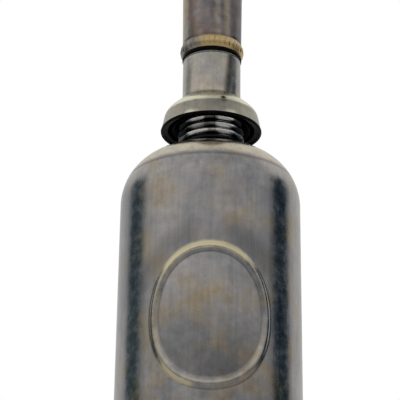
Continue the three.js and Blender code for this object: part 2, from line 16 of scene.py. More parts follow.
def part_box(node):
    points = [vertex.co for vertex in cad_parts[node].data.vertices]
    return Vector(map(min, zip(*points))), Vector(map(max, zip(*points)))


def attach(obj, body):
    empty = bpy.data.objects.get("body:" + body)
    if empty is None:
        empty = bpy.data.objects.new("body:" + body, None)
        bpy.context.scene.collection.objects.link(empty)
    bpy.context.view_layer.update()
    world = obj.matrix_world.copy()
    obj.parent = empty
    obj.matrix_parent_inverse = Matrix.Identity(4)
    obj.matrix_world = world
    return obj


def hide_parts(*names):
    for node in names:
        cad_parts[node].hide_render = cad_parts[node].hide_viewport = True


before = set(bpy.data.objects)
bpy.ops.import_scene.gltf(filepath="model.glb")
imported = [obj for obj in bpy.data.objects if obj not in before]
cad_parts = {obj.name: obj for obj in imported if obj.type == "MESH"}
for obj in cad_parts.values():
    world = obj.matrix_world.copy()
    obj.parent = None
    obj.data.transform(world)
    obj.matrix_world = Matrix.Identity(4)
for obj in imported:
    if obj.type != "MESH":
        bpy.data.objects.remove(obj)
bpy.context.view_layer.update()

# %% [markdown]
# ## Sizes that several pieces share
# The frame is the one source of sizes. A node's box gives its radius and its two heights, so a finer piece
# is drawn from the same numbers and can't drift away from the solid that carries its neighbours. What a
# box can't tell, such as a wall's thickness, is written once as a value in millimetres.

# %% Read sizes from the frame
MM = 0.001


def span(node):
    """Outer radius, lowest and highest point of a node."""
    low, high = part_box(node)
    return high.x, low.z, high.z


cup_radius, _, land = span("bottle_shell")
hood_radius, hood_edge, collar_top = span("hood")
trim_radius, _, _ = span("hood_trim")
neck_flange_radius, neck_foot, neck_mouth = span("neck")
nut_radius, nut_foot, nut_top = span("cap_nut")
lower_radius, lower_foot, lower_top = span("lower_tube")
nipple_radius, nipple_foot, nipple_top = span("union_nipple")
seal_radius, seal_foot, seal_top = span("union_washer")
_, ring_foot, sleeve_top = span("union_ring")
mouth_radius, upper_foot, mouth = span("upper_tube")
spider_radius, spider_foot, spider_top = span("probe_spider")
_, pin_foot, pin_tip = span("probe_pin")
pin_nut_radius, pin_nut_foot, pin_nut_top = span("pin_nut")
plate_radius, plate_foot, _ = span("base_plate")
print(f"cup {2e3 * cup_radius:.1f} mm across, neck from {1e3 * land:.1f} to {1e3 * neck_mouth:.1f} mm")

# %% [markdown]
# ## Turning a piece
# Almost every piece here is a body of revolution, made in a lathe or spun over a former. The quickest way in
# Blender is the same: draw half of the section as a loop of vertices and spin it round the axis. The
# loop closes on itself, so the spun skin is closed too. Sharp corners catch no light, so a small bevel
# breaks each edge that is sharper than a limit, as a file or a polishing wheel does.

# %% Helpers that turn an outline
AROUND = 128
SAME_PLACE = 1e-7
TINY = 1e-6


def radius_of(point):
    """Distance of a point from the axis."""
    return math.hypot(point.x, point.y)


def turn_of(point):
    """Angle of a point round the axis, in degrees from the front towards the right."""
    return math.degrees(math.atan2(point.x, -point.y))


def push_to(vert, radius):
    """Moves a vertex straight out or in to a radius."""
    scale = radius / radius_of(vert.co)
    vert.co.x *= scale
    vert.co.y *= scale


def line(start, end, count):
    """Evenly spaced points from start to end, as (radius, height), without the last one."""
    return [tuple(a + (b - a) * i / count for a, b in zip(start, end)) for i in range(count)]


def ring_section(inner, outer, low, high):
    """The square section of a plain ring."""
    return [(inner, low), (outer, low), (outer, high), (inner, high)]


def arc(center, radius, start, end, steps):
    """Points on an arc from one angle to another, in degrees, as (radius, height)."""
    points = []
    for i in range(steps + 1):
        angle = math.radians(start + (end - start) * i / steps)
        points.append((center[0] + radius * math.cos(angle), center[1] + radius * math.sin(angle)))
    return points


def spin_outline(bm, outline, steps=AROUND):
    """Spins a closed outline of (radius, height) points once round Z."""
    verts = [bm.verts.new((radius, 0, height)) for radius, height in outline]
    edges = [bm.edges.new(pair) for pair in zip(verts, verts[1:] + verts[:1])]
    bmesh.ops.spin(
        bm, geom=verts + edges, cent=(0, 0, 0), axis=(0, 0, 1), angle=2 * math.pi, steps=steps, use_merge=True
    )
    bmesh.ops.remove_doubles(bm, verts=bm.verts, dist=SAME_PLACE)
    on_axis = [e for e in bm.edges if e.is_wire]
    bmesh.ops.delete(bm, geom=on_axis, context="EDGES")
    bmesh.ops.recalc_face_normals(bm, faces=bm.faces)


def soften(bm, width, limit=35, segments=2):
    """Bevels the edges that turn by more than the limit, in degrees."""
    sharp = [e for e in bm.edges if len(e.link_faces) == 2 and e.calc_face_angle() > math.radians(limit)]
    bmesh.ops.bevel(
        bm,
        geom=sharp,
        offset=width,
        offset_type="OFFSET",
        segments=segments,
        profile=0.5,
        affect="EDGES",
        clamp_overlap=True,
        material=-1,
    )


def add_object(name, bm, material):
    """Turns a bmesh into an object of the scene."""
    mesh = bpy.data.meshes.new(name)
    bm.to_mesh(mesh)
    bm.free()
    mesh.materials.append(material)
    obj = bpy.data.objects.new(name, mesh)
    bpy.context.scene.collection.objects.link(obj)
    return obj


def finish_piece(name, bm, material, body, nodes, smooth=40):
    """Makes the object, shades it, hides the CAD nodes it takes the place of, and attaches it to what it moves
    with.
    """
    piece = add_object(name, bm, material)
    mesh = piece.data
    mesh.shade_smooth()
    mesh.set_sharp_from_angle(angle=math.radians(smooth))
    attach(piece, body)
    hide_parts(*nodes)
    print(f"{name}: {len(mesh.vertices)} vertices, {len(mesh.polygons)} faces")
    return piece


def turn_piece(name, outline, bevel, material, body, node, smooth=40, steps=AROUND, limit=35, segments=2):
    """Makes a piece that is only turned, with its sharp edges broken."""
    bm = bmesh.new()
    spin_outline(bm, outline, steps)
    if bevel:
        soften(bm, bevel, limit, segments)
    return finish_piece(name, bm, material, body, [node], smooth)


# %% [markdown]
# ## The finish: old plate over brass
# The real metal is plated brass that has dulled for years. Up close it is a mottled grey with warm and
# cool patches, coppery stains, faint draw lines along the tube, and yellow brass where hands and cloths
# have worn through the plate. The same wear marks also carry painted highlights, and the grime marks carry
# painted shade. One shader node group makes all of that, and each material places it with its own colours.
# The group puts out a colour, a roughness and a height, and the metal shader stays in the material, so that
# the finish can be baked.

# %% Node helpers
def add_node(tree, kind, x, y, inputs=(), **values):
    """Adds a node, places it, sets its properties, and feeds its inputs with outputs or plain values."""
    node = tree.nodes.new(kind)
    node.location = (x, y)
    for key, value in values.items():
        setattr(node, key, value)
    for socket, value in dict(inputs).items():
        if isinstance(value, bpy.types.NodeSocket):
            tree.links.new(value, node.inputs[socket])
        else:
            node.inputs[socket].default_value = value
    return node


def noise(tree, x, y, vector, scale, detail=4.0, roughness=0.55):
    """A noise texture on a vector in millimetres."""
    inputs = {"Vector": vector, "Scale": scale, "Detail": detail, "Roughness": roughness}
    return add_node(tree, "ShaderNodeTexNoise", x, y, inputs).outputs["Fac"]


def remap(tree, x, y, value, low, high, to_low=0.0, to_high=1.0):
    """Stretches a range of a value to another range, and clamps it."""
    inputs = {"Value": value, "From Min": low, "From Max": high, "To Min": to_low, "To Max": to_high}
    return add_node(tree, "ShaderNodeMapRange", x, y, inputs, clamp=True).outputs["Result"]


def blend_colors(tree, x, y, factor, first, second, mode="MIX"):
    """Mixes two colours."""
    inputs = {0: factor, 6: first, 7: second}
    return add_node(tree, "ShaderNodeMix", x, y, inputs, data_type="RGBA", blend_type=mode).outputs[2]


def math_node(tree, x, y, operation, first, second):
    """One sum on two values."""
    return add_node(tree, "ShaderNodeMath", x, y, {0: first, 1: second}, operation=operation).outputs[0]


def mix_shaders(tree, x, y, factor, first, second):
    """Mixes two shaders by a factor."""
    return add_node(tree, "ShaderNodeMixShader", x, y, {0: factor, 1: first, 2: second}).outputs[0]


def gray(level):
    """A neutral colour from one number."""
    return (level, level, level, 1.0)


def place_in_mm(tree, x, y):
    """A point's place on its own object, in millimetres."""
    where = add_node(tree, "ShaderNodeTexCoord", x, y).outputs["Object"]
    inputs = {0: where, "Scale": 1.0 / MM}
    return add_node(tree, "ShaderNodeVectorMath", x + 200, y, inputs, operation="SCALE").outputs[0]


# %% Build the plate group
# Near black: the colour of dirt, and of painted shade where the grime marks stand for shade.
GRIME_AND_SHADE = (0.005, 0.0055, 0.0065, 1.0)
DRAW_STRETCH = 0.06


def build_plate_group():
    """Mottled plate over brass: patches, stains, draw lines, pits, worn edges with painted highlights, and dark
    dirt with painted shade.
    """
    tree = bpy.data.node_groups.new("plate_over_brass", "ShaderNodeTree")
    for name in ("Plate", "Tarnish", "Stain", "Brass"):
        tree.interface.new_socket(name, in_out="INPUT", socket_type="NodeSocketColor")
    numbers = (("Stain Amount", 0.3), ("Wear And Highlight", 0.0), ("Grime And Shade", 0.0), ("Patch Size", 9.0), ("Roughness", 0.3))
    for name, number in numbers:
        socket = tree.interface.new_socket(name, in_out="INPUT", socket_type="NodeSocketFloat")
        socket.default_value = number
    for name, kind in (("Color", "Color"), ("Roughness", "Float"), ("Height", "Float")):
        tree.interface.new_socket(name, in_out="OUTPUT", socket_type=f"NodeSocket{kind}")
    given = add_node(tree, "NodeGroupInput", -1400, 0)
    place = place_in_mm(tree, -1400, 400)
    patch_size = {0: place, 1: given.outputs["Patch Size"]}
    patch_place = add_node(tree, "ShaderNodeVectorMath", -1000, 500, patch_size, operation="DIVIDE")
    stretch = {"Vector": place, "Scale": (1.0, 1.0, DRAW_STRETCH)}
    drawn = add_node(tree, "ShaderNodeMapping", -1000, 200, stretch)

    patches = noise(tree, -800, 500, patch_place.outputs[0], 1.0, 5.0, 0.6)
    stains = noise(tree, -800, 300, patch_place.outputs[0], 1.7, 6.0, 0.62)
    mottle = noise(tree, -800, 100, place, 0.55, 6.0, 0.6)
    lines = noise(tree, -800, -100, drawn.outputs[0], 1.6, 5.0, 0.6)
    grain = noise(tree, -800, -300, place, 6.0, 3.0, 0.6)

    dull = remap(tree, -600, 500, patches, 0.4, 0.6)
    color = blend_colors(tree, -400, 500, dull, given.outputs["Plate"], given.outputs["Tarnish"])
    stained = remap(tree, -600, 300, stains, 0.48, 0.7)
    stained = math_node(tree, -400, 300, "MULTIPLY", stained, given.outputs["Stain Amount"])
    color = blend_colors(tree, -200, 450, stained, color, given.outputs["Stain"])
    light = remap(tree, -600, 100, mottle, 0.3, 0.7, 0.82, 1.16)
    line_light = remap(tree, -600, -100, lines, 0.3, 0.7, 0.9, 1.1)
    light = math_node(tree, -400, 0, "MULTIPLY", light, line_light)
    pits = remap(tree, -600, -300, grain, 0.62, 0.72, 1.0, 0.72)
    light = math_node(tree, -200, 0, "MULTIPLY", light, pits)
    shade = add_node(tree, "ShaderNodeCombineColor", 0, 0, {0: light, 1: light, 2: light})
    color = blend_colors(tree, 200, 400, 1.0, color, shade.outputs[0], "MULTIPLY")
    broken = remap(tree, -200, 200, mottle, 0.3, 0.6, 0.55, 1.25)
    # The wear input also carries painted highlights, which are mixed in as brass or as a bright crest colour.
    worn = math_node(tree, 0, 200, "MULTIPLY", given.outputs["Wear And Highlight"], broken)
    worn = remap(tree, 200, 200, worn, 0.15, 0.85)
    color = blend_colors(tree, 400, 300, worn, color, given.outputs["Brass"])
    broken = remap(tree, 0, 0, mottle, 0.3, 0.6, 0.8, 1.1)
    # The grime input also carries painted shade, which is mixed in as near black.
    dirt = math_node(tree, 200, 0, "MULTIPLY", given.outputs["Grime And Shade"], broken)
    dirt = remap(tree, 400, 0, dirt, 0.0, 1.0)
    color = blend_colors(tree, 600, 300, dirt, color, GRIME_AND_SHADE)

    rough = remap(tree, 0, -200, mottle, 0.3, 0.7, -0.07, 0.1)
    rough = math_node(tree, 200, -200, "ADD", rough, given.outputs["Roughness"])
    rough = math_node(tree, 400, -200, "ADD", rough, math_node(tree, 200, -300, "MULTIPLY", dirt, 0.2))
    height = math_node(tree, 0, -400, "MULTIPLY", mottle, 0.6)
    height = math_node(tree, 200, -400, "ADD", height, math_node(tree, 0, -550, "MULTIPLY", grain, 0.15))
    height = math_node(tree, 400, -400, "ADD", height, math_node(tree, 0, -700, "MULTIPLY", lines, 0.35))
    add_node(tree, "NodeGroupOutput", 900, 0, {"Color": color, "Roughness": rough, "Height": height})
    return tree


plate_group = build_plate_group()
print("group", plate_group.name, "with", len(plate_group.nodes), "nodes")

# %% Materials that use the plate group
WEAR_AND_HIGHLIGHT = "wear_and_highlight"
GRIME_AND_SHADE_MARK = "grime_and_shade"


def plated(name, plate, tarnish, stain, brass, stain_amount, patch_mm, roughness, bump_mm=0.02, edge=1.0):
    """A metal material with the plate group in it, fed by the piece's own attributes for worn places with
    painted highlights and grimy places with painted shade.
    """
    material = bpy.data.materials.new(name)
    material.use_nodes = True
    tree = material.node_tree
    shader = tree.nodes["Principled BSDF"]
    shader.inputs["Metallic"].default_value = 1.0
    shader.inputs["Specular Tint"].default_value = gray(edge)
    inputs = {"Stain Amount": stain_amount, "Patch Size": patch_mm, "Roughness": roughness}
    for socket, color in (("Plate", plate), ("Tarnish", tarnish), ("Stain", stain), ("Brass", brass)):
        inputs[socket] = (*color, 1.0)
    for attribute, socket in ((WEAR_AND_HIGHLIGHT, "Wear And Highlight"), (GRIME_AND_SHADE_MARK, "Grime And Shade")):
        mark = add_node(tree, "ShaderNodeAttribute", -700, 100, attribute_name=attribute)
        inputs[socket] = mark.outputs["Fac"]
    finish = add_node(tree, "ShaderNodeGroup", -400, 200, inputs, node_tree=plate_group)
    height = {"Distance": bump_mm * MM, "Height": finish.outputs["Height"]}
    relief = add_node(tree, "ShaderNodeBump", -200, -100, height)
    tree.links.new(finish.outputs["Color"], shader.inputs["Base Color"])
    tree.links.new(finish.outputs["Roughness"], shader.inputs["Roughness"])
    tree.links.new(relief.outputs["Normal"], shader.inputs["Normal"])
    return material


BRASS = (0.72, 0.64, 0.43)
# Pale brass for the hood's worn corner, and for the painted highlights on its corner and skirt edge.
PALE_BRASS_AND_HIGHLIGHT = (0.80, 0.77, 0.58)
DEEP_BRASS = (0.62, 0.45, 0.21)
# Bare crest colour, which also serves as the painted highlight on the thread's crests.
BARE_CREST_AND_HIGHLIGHT = (0.95, 0.96, 0.98)
cup_metal = plated(
    "tarnished_plate", (0.40, 0.38, 0.365), (0.28, 0.28, 0.29), (0.39, 0.31, 0.20), BRASS,
    stain_amount=0.85, patch_mm=13.0, roughness=0.2, bump_mm=0.012,
)
hood_metal = plated(
    "spun_plate", (0.40, 0.38, 0.32), (0.30, 0.285, 0.25), (0.42, 0.36, 0.24), PALE_BRASS_AND_HIGHLIGHT,
    stain_amount=0.5, patch_mm=5.0, roughness=0.26,
)
lower_metal = plated(
    "pale_plate", (0.52, 0.46, 0.41), (0.37, 0.36, 0.35), (0.48, 0.45, 0.29), BRASS,
    stain_amount=0.6, patch_mm=5.0, roughness=0.2,
)
upper_metal = plated(
    "coppery_plate", (0.285, 0.26, 0.255), (0.18, 0.165, 0.17), (0.30, 0.19, 0.13), BRASS,
    stain_amount=0.8, patch_mm=6.0, roughness=0.34,
)
ring_brass = plated(
    "worn_brass", (0.32, 0.30, 0.26), (0.22, 0.21, 0.19), (0.24, 0.15, 0.09), DEEP_BRASS,
    stain_amount=0.4, patch_mm=3.0, roughness=0.28,
)
# Blackened brass for the neck and the nut. Its base is darkened further as painted shade under the hood.
shaded_thread_metal = plated(
    "blackened_brass_and_painted_shade", (0.022, 0.023, 0.027), (0.012, 0.012, 0.014), (0.03, 0.025, 0.02), BARE_CREST_AND_HIGHLIGHT,
    stain_amount=0.3, patch_mm=3.0, roughness=0.18, edge=0.55,
)
plated_metals = (cup_metal, hood_metal, lower_metal, upper_metal, ring_brass, shaded_thread_metal)
print("plated materials:", [metal.name for metal in plated_metals])

# %% [markdown]
# ## Rubber
# The black rim under the hood and the two washers are rubber. It isn't a metal: its shine comes from a
# clear reflection over a nearly black body, a little duller where it is dusty, with a fine moulded grain.

# %% Rubber material
RUBBER_BLACK = (0.002, 0.002, 0.0025, 1.0)
RUBBER_DUSTY = (0.005, 0.005, 0.005, 1.0)
RUBBER_SHINE = 0.04


def build_rubber():
    """Nearly black rubber with dusty patches and a fine grain."""
    material = bpy.data.materials.new("black_rubber")
    material.use_nodes = True
    tree = material.node_tree
    shader = tree.nodes["Principled BSDF"]
    shader.inputs["Specular IOR Level"].default_value = RUBBER_SHINE
    place = place_in_mm(tree, -1200, 0)
    dust = noise(tree, -800, 100, place, 0.6, 5.0)
    grain = noise(tree, -800, -200, place, 7.0, 2.0)
    dusty = remap(tree, -600, 200, dust, 0.45, 0.7)
    color = blend_colors(tree, -400, 200, dusty, RUBBER_BLACK, RUBBER_DUSTY)
    tree.links.new(color, shader.inputs["Base Color"])
    tree.links.new(remap(tree, -600, 0, dust, 0.35, 0.7, 0.22, 0.45), shader.inputs["Roughness"])
    relief = add_node(tree, "ShaderNodeBump", -200, -200, {"Distance": 0.01 * MM, "Height": grain})
    tree.links.new(relief.outputs["Normal"], shader.inputs["Normal"])
    return material


rubber = build_rubber()
print("rubber has", len(rubber.node_tree.nodes), "nodes")

# %% [markdown]
# ## The cup
# The cup is one drawn tube: a straight wall, a wide round shoulder, and a hem rolled in at the foot. It is
# spun from its section. The oval on its front is pressed out from inside, so it isn't a separate wire: the
# wall itself rises and falls again. The wall is cut finer there, and each of its vertices is pushed outwards
# by a formula that knows only how far it is from the oval's crest.

# %% Cup outline
CUP_WALL = 0.8 * MM
SHOULDER = 12.0 * MM
FOOT_CORNER = 0.75 * MM
HEM_WIDTH = 1.25 * MM
HEM_THICK = 1.0 * MM
BEAD_HALF_WIDTH = 11.7 * MM
BEAD_HALF_HEIGHT = 13.9 * MM
BEAD_CENTER = 28.25 * MM
BEAD_SQUARENESS = 2.1
BEAD_WIDTH = 2.3 * MM
BEAD_HEIGHT = 0.38 * MM
PANEL_CROWN = 0.3 * MM
WALL_ROW = 0.75 * MM

straight_top = land - SHOULDER
shoulder_center = (cup_radius - SHOULDER, straight_top)
cup_inner = cup_radius - CUP_WALL
neck_hole = 6.27 * MM
wall_rows = round((straight_top - FOOT_CORNER) / WALL_ROW)
cup_outline = [(cup_inner - HEM_WIDTH, 0.0)]
cup_outline += arc((cup_radius - FOOT_CORNER, FOOT_CORNER), FOOT_CORNER, -90, 0, 6)[:-1]
cup_outline += line((cup_radius, FOOT_CORNER), (cup_radius, straight_top), wall_rows)
cup_outline += arc(shoulder_center, SHOULDER, 0, 90, 28)
cup_outline += [(neck_hole, land), (neck_hole, land - CUP_WALL)]
cup_outline += arc(shoulder_center, SHOULDER - CUP_WALL, 90, 0, 10)
cup_outline += [(cup_inner, HEM_THICK), (cup_inner - HEM_WIDTH, HEM_THICK)]
print(f"cup outline has {len(cup_outline)} points, {wall_rows} rows up the wall")

# %% Spin the cup and press the bead
CUP_AROUND = 160
REFINE_NEAR = 2.2
REFINE_CUTS = 3


def unrolled(point):
    """How far a point of the wall is across and up from the oval's centre."""
    return math.atan2(point.x, -point.y) * cup_radius, point.z - BEAD_CENTER


def bead_reach(across, up):
    """Distance from the oval's centre to its crest, in the direction of a point on the unrolled wall."""
    size = math.hypot(across, up)
    total = abs(across / size / BEAD_HALF_WIDTH) ** BEAD_SQUARENESS
    total += abs(up / size / BEAD_HALF_HEIGHT) ** BEAD_SQUARENESS
    return total ** (-1 / BEAD_SQUARENESS)


def from_crest(point):
    """How far a point on the cup is from the bead's crest, as a share of the bead's half width."""
    across, up = unrolled(point)
    size = math.hypot(across, up)
    if size < BEAD_WIDTH:
        return math.inf
    return (size - bead_reach(across, up)) / (BEAD_WIDTH / 2)


def bead_rise(point):
    """How far the bead and the crowned panel inside it stand out from the wall."""
    across, up = unrolled(point)
    size = math.hypot(across, up)
    if size < TINY:
        return PANEL_CROWN
    reach = bead_reach(across, up)
    off = (size - reach) / (BEAD_WIDTH / 2)
    bead = BEAD_HEIGHT * (1 - off**2) ** 1.5 if abs(off) < 1 else 0.0
    panel = PANEL_CROWN * max(0.0, 1 - (size / (reach - BEAD_WIDTH / 2)) ** 2)
    return max(bead, panel)


def beside_bead(edge):
    """Whether an edge lies in the outer wall and close to the bead."""
    in_wall = all(radius_of(v.co) > cup_radius - TINY for v in edge.verts)
    return in_wall and any(abs(from_crest(v.co)) < REFINE_NEAR for v in edge.verts)


cup = bmesh.new()
spin_outline(cup, cup_outline, CUP_AROUND)
near = [edge for edge in cup.edges if beside_bead(edge)]
bmesh.ops.subdivide_edges(cup, edges=near, cuts=REFINE_CUTS, use_grid_fill=True)
for vert in cup.verts:
    if radius_of(vert.co) > cup_radius - CUP_WALL / 2 and vert.co.z <= straight_top:
        push_to(vert, cup_radius + bead_rise(vert.co))
print(f"{len(near)} edges refined round the bead")


# %% Mark where the cup is worn
def paint(piece, wear_and_highlight_at=None, grime_and_shade_at=None):
    """Writes how worn and how grimy each vertex is, painted highlights and painted shade included, as
    attributes that the plate materials read.
    """
    for name, value_at in ((WEAR_AND_HIGHLIGHT, wear_and_highlight_at), (GRIME_AND_SHADE_MARK, grime_and_shade_at)):
        if value_at:
            layer = piece.data.attributes.new(name, "FLOAT", "POINT")
            layer.data.foreach_set("value", [value_at(v.co) for v in piece.data.vertices])


def bump_at(value, middle, width):
    """1 at the middle, falling smoothly to 0 at the width."""
    return max(0.0, 1 - ((value - middle) / width) ** 2)


def step_up(value, low, high):
    """0 below the range, 1 above it, and smooth between."""
    share = min(1.0, max(0.0, (value - low) / (high - low)))
    return share * share * (3 - 2 * share)


# Stretches of the bead that are worn and carry painted highlights: their middle and reach, in degrees round the
# oval from its right side
WORN_AND_HIGHLIT_TOP = (95, 60)
WORN_AND_HIGHLIT_LOW_LEFT = (-122, 22)
SHOULDER_LINE = land - 6.5 * MM


def cup_wear_and_highlight(point):
    """Worn to brass, with painted highlights: the bead on its upward slopes, top and lower left, the shoulder's
    top, which also stands for its sheen from above, and the foot.
    """
    crest = 0.0
    off = from_crest(point)
    if point.y < 0 and abs(off) < 2:
        turn = math.degrees(math.atan2(point.z - BEAD_CENTER, point.x))
        # Painted highlight on the bead's upward-facing slopes, all round the oval.
        upward = off * math.sin(math.radians(turn))
        all_round = 0.35 * bump_at(upward, 0.35, 0.65) * bump_at(off, 0.0, 0.95)
        # Worn brass along the top, placed on the upper slope as a painted highlight too.
        top = 1.25 * bump_at(turn, *WORN_AND_HIGHLIT_TOP) * bump_at(off, 0.35, 0.95)
        # Painted highlight on the bead's outer foot at the lower left, with some wear.
        low_left = 1.7 * bump_at(turn, *WORN_AND_HIGHLIT_LOW_LEFT) * bump_at(off, 0.65, 0.6)
        crest = max(all_round, top, low_left)
    # The shoulder's top is worn to brass, and the band also stands for the sheen it catches from above.
    shoulder = 0.5 * step_up(point.z, SHOULDER_LINE, SHOULDER_LINE + 0.8 * MM)
    foot = 0.5 * bump_at(point.z, 0.4 * MM, 1.0 * MM)
    return max(crest, shoulder, foot)


def cup_grime_and_shade(point):
    """Painted shade along the bead's foot and a painted shadow line under the shoulder's worn top; the panel is
    darker towards its bottom; dirt lies above the bead and round the neck.
    """
    # Painted shadow line under the shoulder's worn band.
    marks = [0.45 * bump_at(point.z, SHOULDER_LINE - 0.2 * MM, 0.35 * MM)]
    if point.z > straight_top:
        marks.append(0.8 * bump_at(radius_of(point), neck_flange_radius, 1.2 * MM))
    if point.y < 0:
        off = from_crest(point)
        above = point.z - BEAD_CENTER
        aside = step_up(abs(point.x), 1.5 * MM, 5.0 * MM)
        # Painted shade along the bead's foot, inside and out.
        marks.append(0.3 * bump_at(abs(off), 1.02, 0.2))
        # The panel inside the bead grows darker towards its bottom.
        marks.append(0.22 * step_up(-above, 0.0, 10.0 * MM) * (1 - step_up(off, -1.5, -0.5)))
        marks.append(0.28 * aside * step_up(above, 4.0 * MM, 11.0 * MM) * bump_at(off, 3.0, 3.0))
    return max(marks)


cup_piece = finish_piece("cup", cup, cup_metal, "bottle", ["bottle_shell"], 50)
paint(cup_piece, cup_wear_and_highlight, cup_grime_and_shade)

# %% [markdown]
# ## The base plate
# A shallow pressed dish closes the foot. Its middle is domed inwards so that the cup rests on its hem
# alone, and its skirt is pushed up inside the wall. From below it is all that shows, so it is turned with
# enough rows to shade as a smooth dish.

# %% Base plate
PLATE_THICK = 0.7 * MM
PLATE_SKIRT = 1.6 * MM
PLATE_DOME = 1.2 * MM
chord = plate_radius - PLATE_THICK
dome_radius = (chord**2 + PLATE_DOME**2) / (2 * PLATE_DOME)
dome_center = (0.0, plate_foot + PLATE_SKIRT + PLATE_DOME - dome_radius)
half_angle = math.degrees(math.asin(chord / dome_radius))
plate_outline = [(chord, plate_foot), (plate_radius, plate_foot)]
plate_outline += [(plate_radius, plate_foot + PLATE_SKIRT + PLATE_THICK / 2)]
plate_outline += arc(dome_center, dome_radius + PLATE_THICK, 90 - half_angle, 90, 12)
plate_outline += arc(dome_center, dome_radius, 90, 90 - half_angle, 12)
turn_piece("base_dish", plate_outline, 0.15 * MM, cup_metal, "bottle", "base_plate")

# %% [markdown]
# ## Threads
# A thread is one tooth that climbs as it goes round. Blender's spin takes a step along the axis as well,
# which turns it into a screw: a small closed tooth section, spun through all its turns, makes the whole
# ridge. The ridge's foot is sunk in the turned core below it, and both ends are closed. Where the end of
# the part is chamfered, the ridge is pressed back to the same cone.

# %% Thread helper
THREAD_STEPS = 64
FLANK_ANGLE = math.radians(30)
RIDGE_SINK = 0.15 * MM
CREST_ROUND = 0.06 * MM


def wind_thread(bm, crest, root, crest_width, pitch, low, high, phase, envelope):
    """Winds a right-hand thread ridge. The envelope gives the largest radius at a height."""
    foot = root - RIDGE_SINK
    flank = (crest - foot) * math.tan(FLANK_ANGLE)
    tip = crest_width / 2
    upper_half = [(crest, tip / 2), (crest - CREST_ROUND, tip + CREST_ROUND / 2), (foot, tip + flank)]
    section = [(radius, -height) for radius, height in upper_half[::-1]] + upper_half
    turns = (high - low) / pitch
    verts = [bm.verts.new((radius, 0, low + height)) for radius, height in section]
    bmesh.ops.rotate(bm, verts=verts, cent=(0, 0, 0), matrix=Matrix.Rotation(math.radians(phase), 3, "Z"))
    edges = [bm.edges.new(pair) for pair in zip(verts, verts[1:] + verts[:1])]
    steps = round(turns * THREAD_STEPS)
    before = set(bm.verts)
    bmesh.ops.spin(
        bm,
        geom=verts + edges,
        cent=(0, 0, 0),
        axis=(0, 0, 1),
        dvec=(0, 0, (high - low) / steps),
        angle=turns * 2 * math.pi,
        steps=steps,
    )
    ridge = [v for v in bm.verts if v not in before] + verts
    bmesh.ops.holes_fill(bm, edges=[e for e in bm.edges if e.is_boundary], sides=0)
    for vert in ridge:
        limit = envelope(vert.co.z)
        if radius_of(vert.co) > limit:
            push_to(vert, limit)
        vert.co.z = min(max(vert.co.z, low), high)
    bmesh.ops.recalc_face_normals(bm, faces=bm.faces)
    return ridge


# %% Neck
NECK_BORE = 4.6 * MM
NECK_CREST = 7.14 * MM
NECK_CREST_WIDTH = 0.46 * MM
NECK_PITCH = 1.5875 * MM
NECK_DEPTH = 0.97 * MM
NECK_FLANGE = 0.6 * MM
NECK_LIP_RADIUS = 7.0 * MM
NECK_LIP = 0.7 * MM
NECK_CHAMFER = 0.7 * MM
NECK_PHASE = -50
NECK_RUN_OUT = 0.1 * MM
neck_root = NECK_CREST - NECK_DEPTH
flange_top = land + NECK_FLANGE
neck_outline = [
    (NECK_BORE, neck_foot),
    (NECK_LIP_RADIUS, neck_foot),
    (NECK_LIP_RADIUS, neck_foot + NECK_LIP),
    (neck_root, neck_foot + NECK_LIP),
    (neck_root, land),
    (neck_flange_radius, land),
    (neck_flange_radius, flange_top),
    (neck_root, flange_top),
    (neck_root, neck_mouth),
    (NECK_BORE, neck_mouth),
]
neck = bmesh.new()
spin_outline(neck, neck_outline)
soften(neck, 0.12 * MM)


def neck_envelope(height):
    """Full crest up to the chamfer, and a cone above it."""
    return NECK_CREST - max(0.0, height - (neck_mouth - NECK_CHAMFER))


wind_thread(
    neck, NECK_CREST, neck_root, NECK_CREST_WIDTH, NECK_PITCH,
    flange_top - NECK_RUN_OUT, neck_mouth - NECK_RUN_OUT, NECK_PHASE, neck_envelope,
)
neck_piece = finish_piece("threaded_neck", neck, shaded_thread_metal, "bottle", ["neck"], 45)


# Where the painted highlights on the crests are strongest, in degrees either side of the front.
HIGHLIGHT_TURN = 26


def neck_wear_and_highlight(point):
    """The crests are worn bare and carry painted highlights: strongest in two places beside the front, weaker
    higher up and round the sides, and none low down.
    """
    turn = turn_of(point)
    high = step_up(point.z, land + 3.7 * MM, land + 4.4 * MM)
    left = bump_at(turn, -HIGHLIGHT_TURN, 20 - 6 * high) * (1 - 0.93 * bump_at(point.z, land + 5.1 * MM, 1.2 * MM))
    faint = (0.5 - 0.2 * high) * (1 - 0.5 * step_up(abs(turn), 40, 60))
    shine = faint + 1.6 * max(left, bump_at(turn, HIGHLIGHT_TURN, 18))
    above_low_turns = step_up(point.z, land + 2.0 * MM, land + 2.7 * MM)
    return shine * above_low_turns * bump_at(radius_of(point), NECK_CREST, 0.7 * MM)


paint(neck_piece, neck_wear_and_highlight)

# %% [markdown]
# ## The hood
# The hood is spun from sheet: a short collar that grips the tube, a cone, a round corner and a skirt that
# flares a little. The inside is the same line moved in by the sheet's thickness, so the wall shows its
# real thickness at the edge. The small vent on the front is a true hole through both skins.

# %% Hood outline
HOOD_WALL = 0.7 * MM
HOOD_TAPER = math.radians(11.5)
HOOD_SLOPE = math.radians(42)
CONE_TOP_RADIUS = 6.95 * MM
COLLAR = 0.25 * MM
COLLAR_WIDTH = 0.15 * MM
HOOD_CORNER = 3.6 * MM
cone_top = collar_top - COLLAR
hood_hole = lower_radius + 0.1 * MM


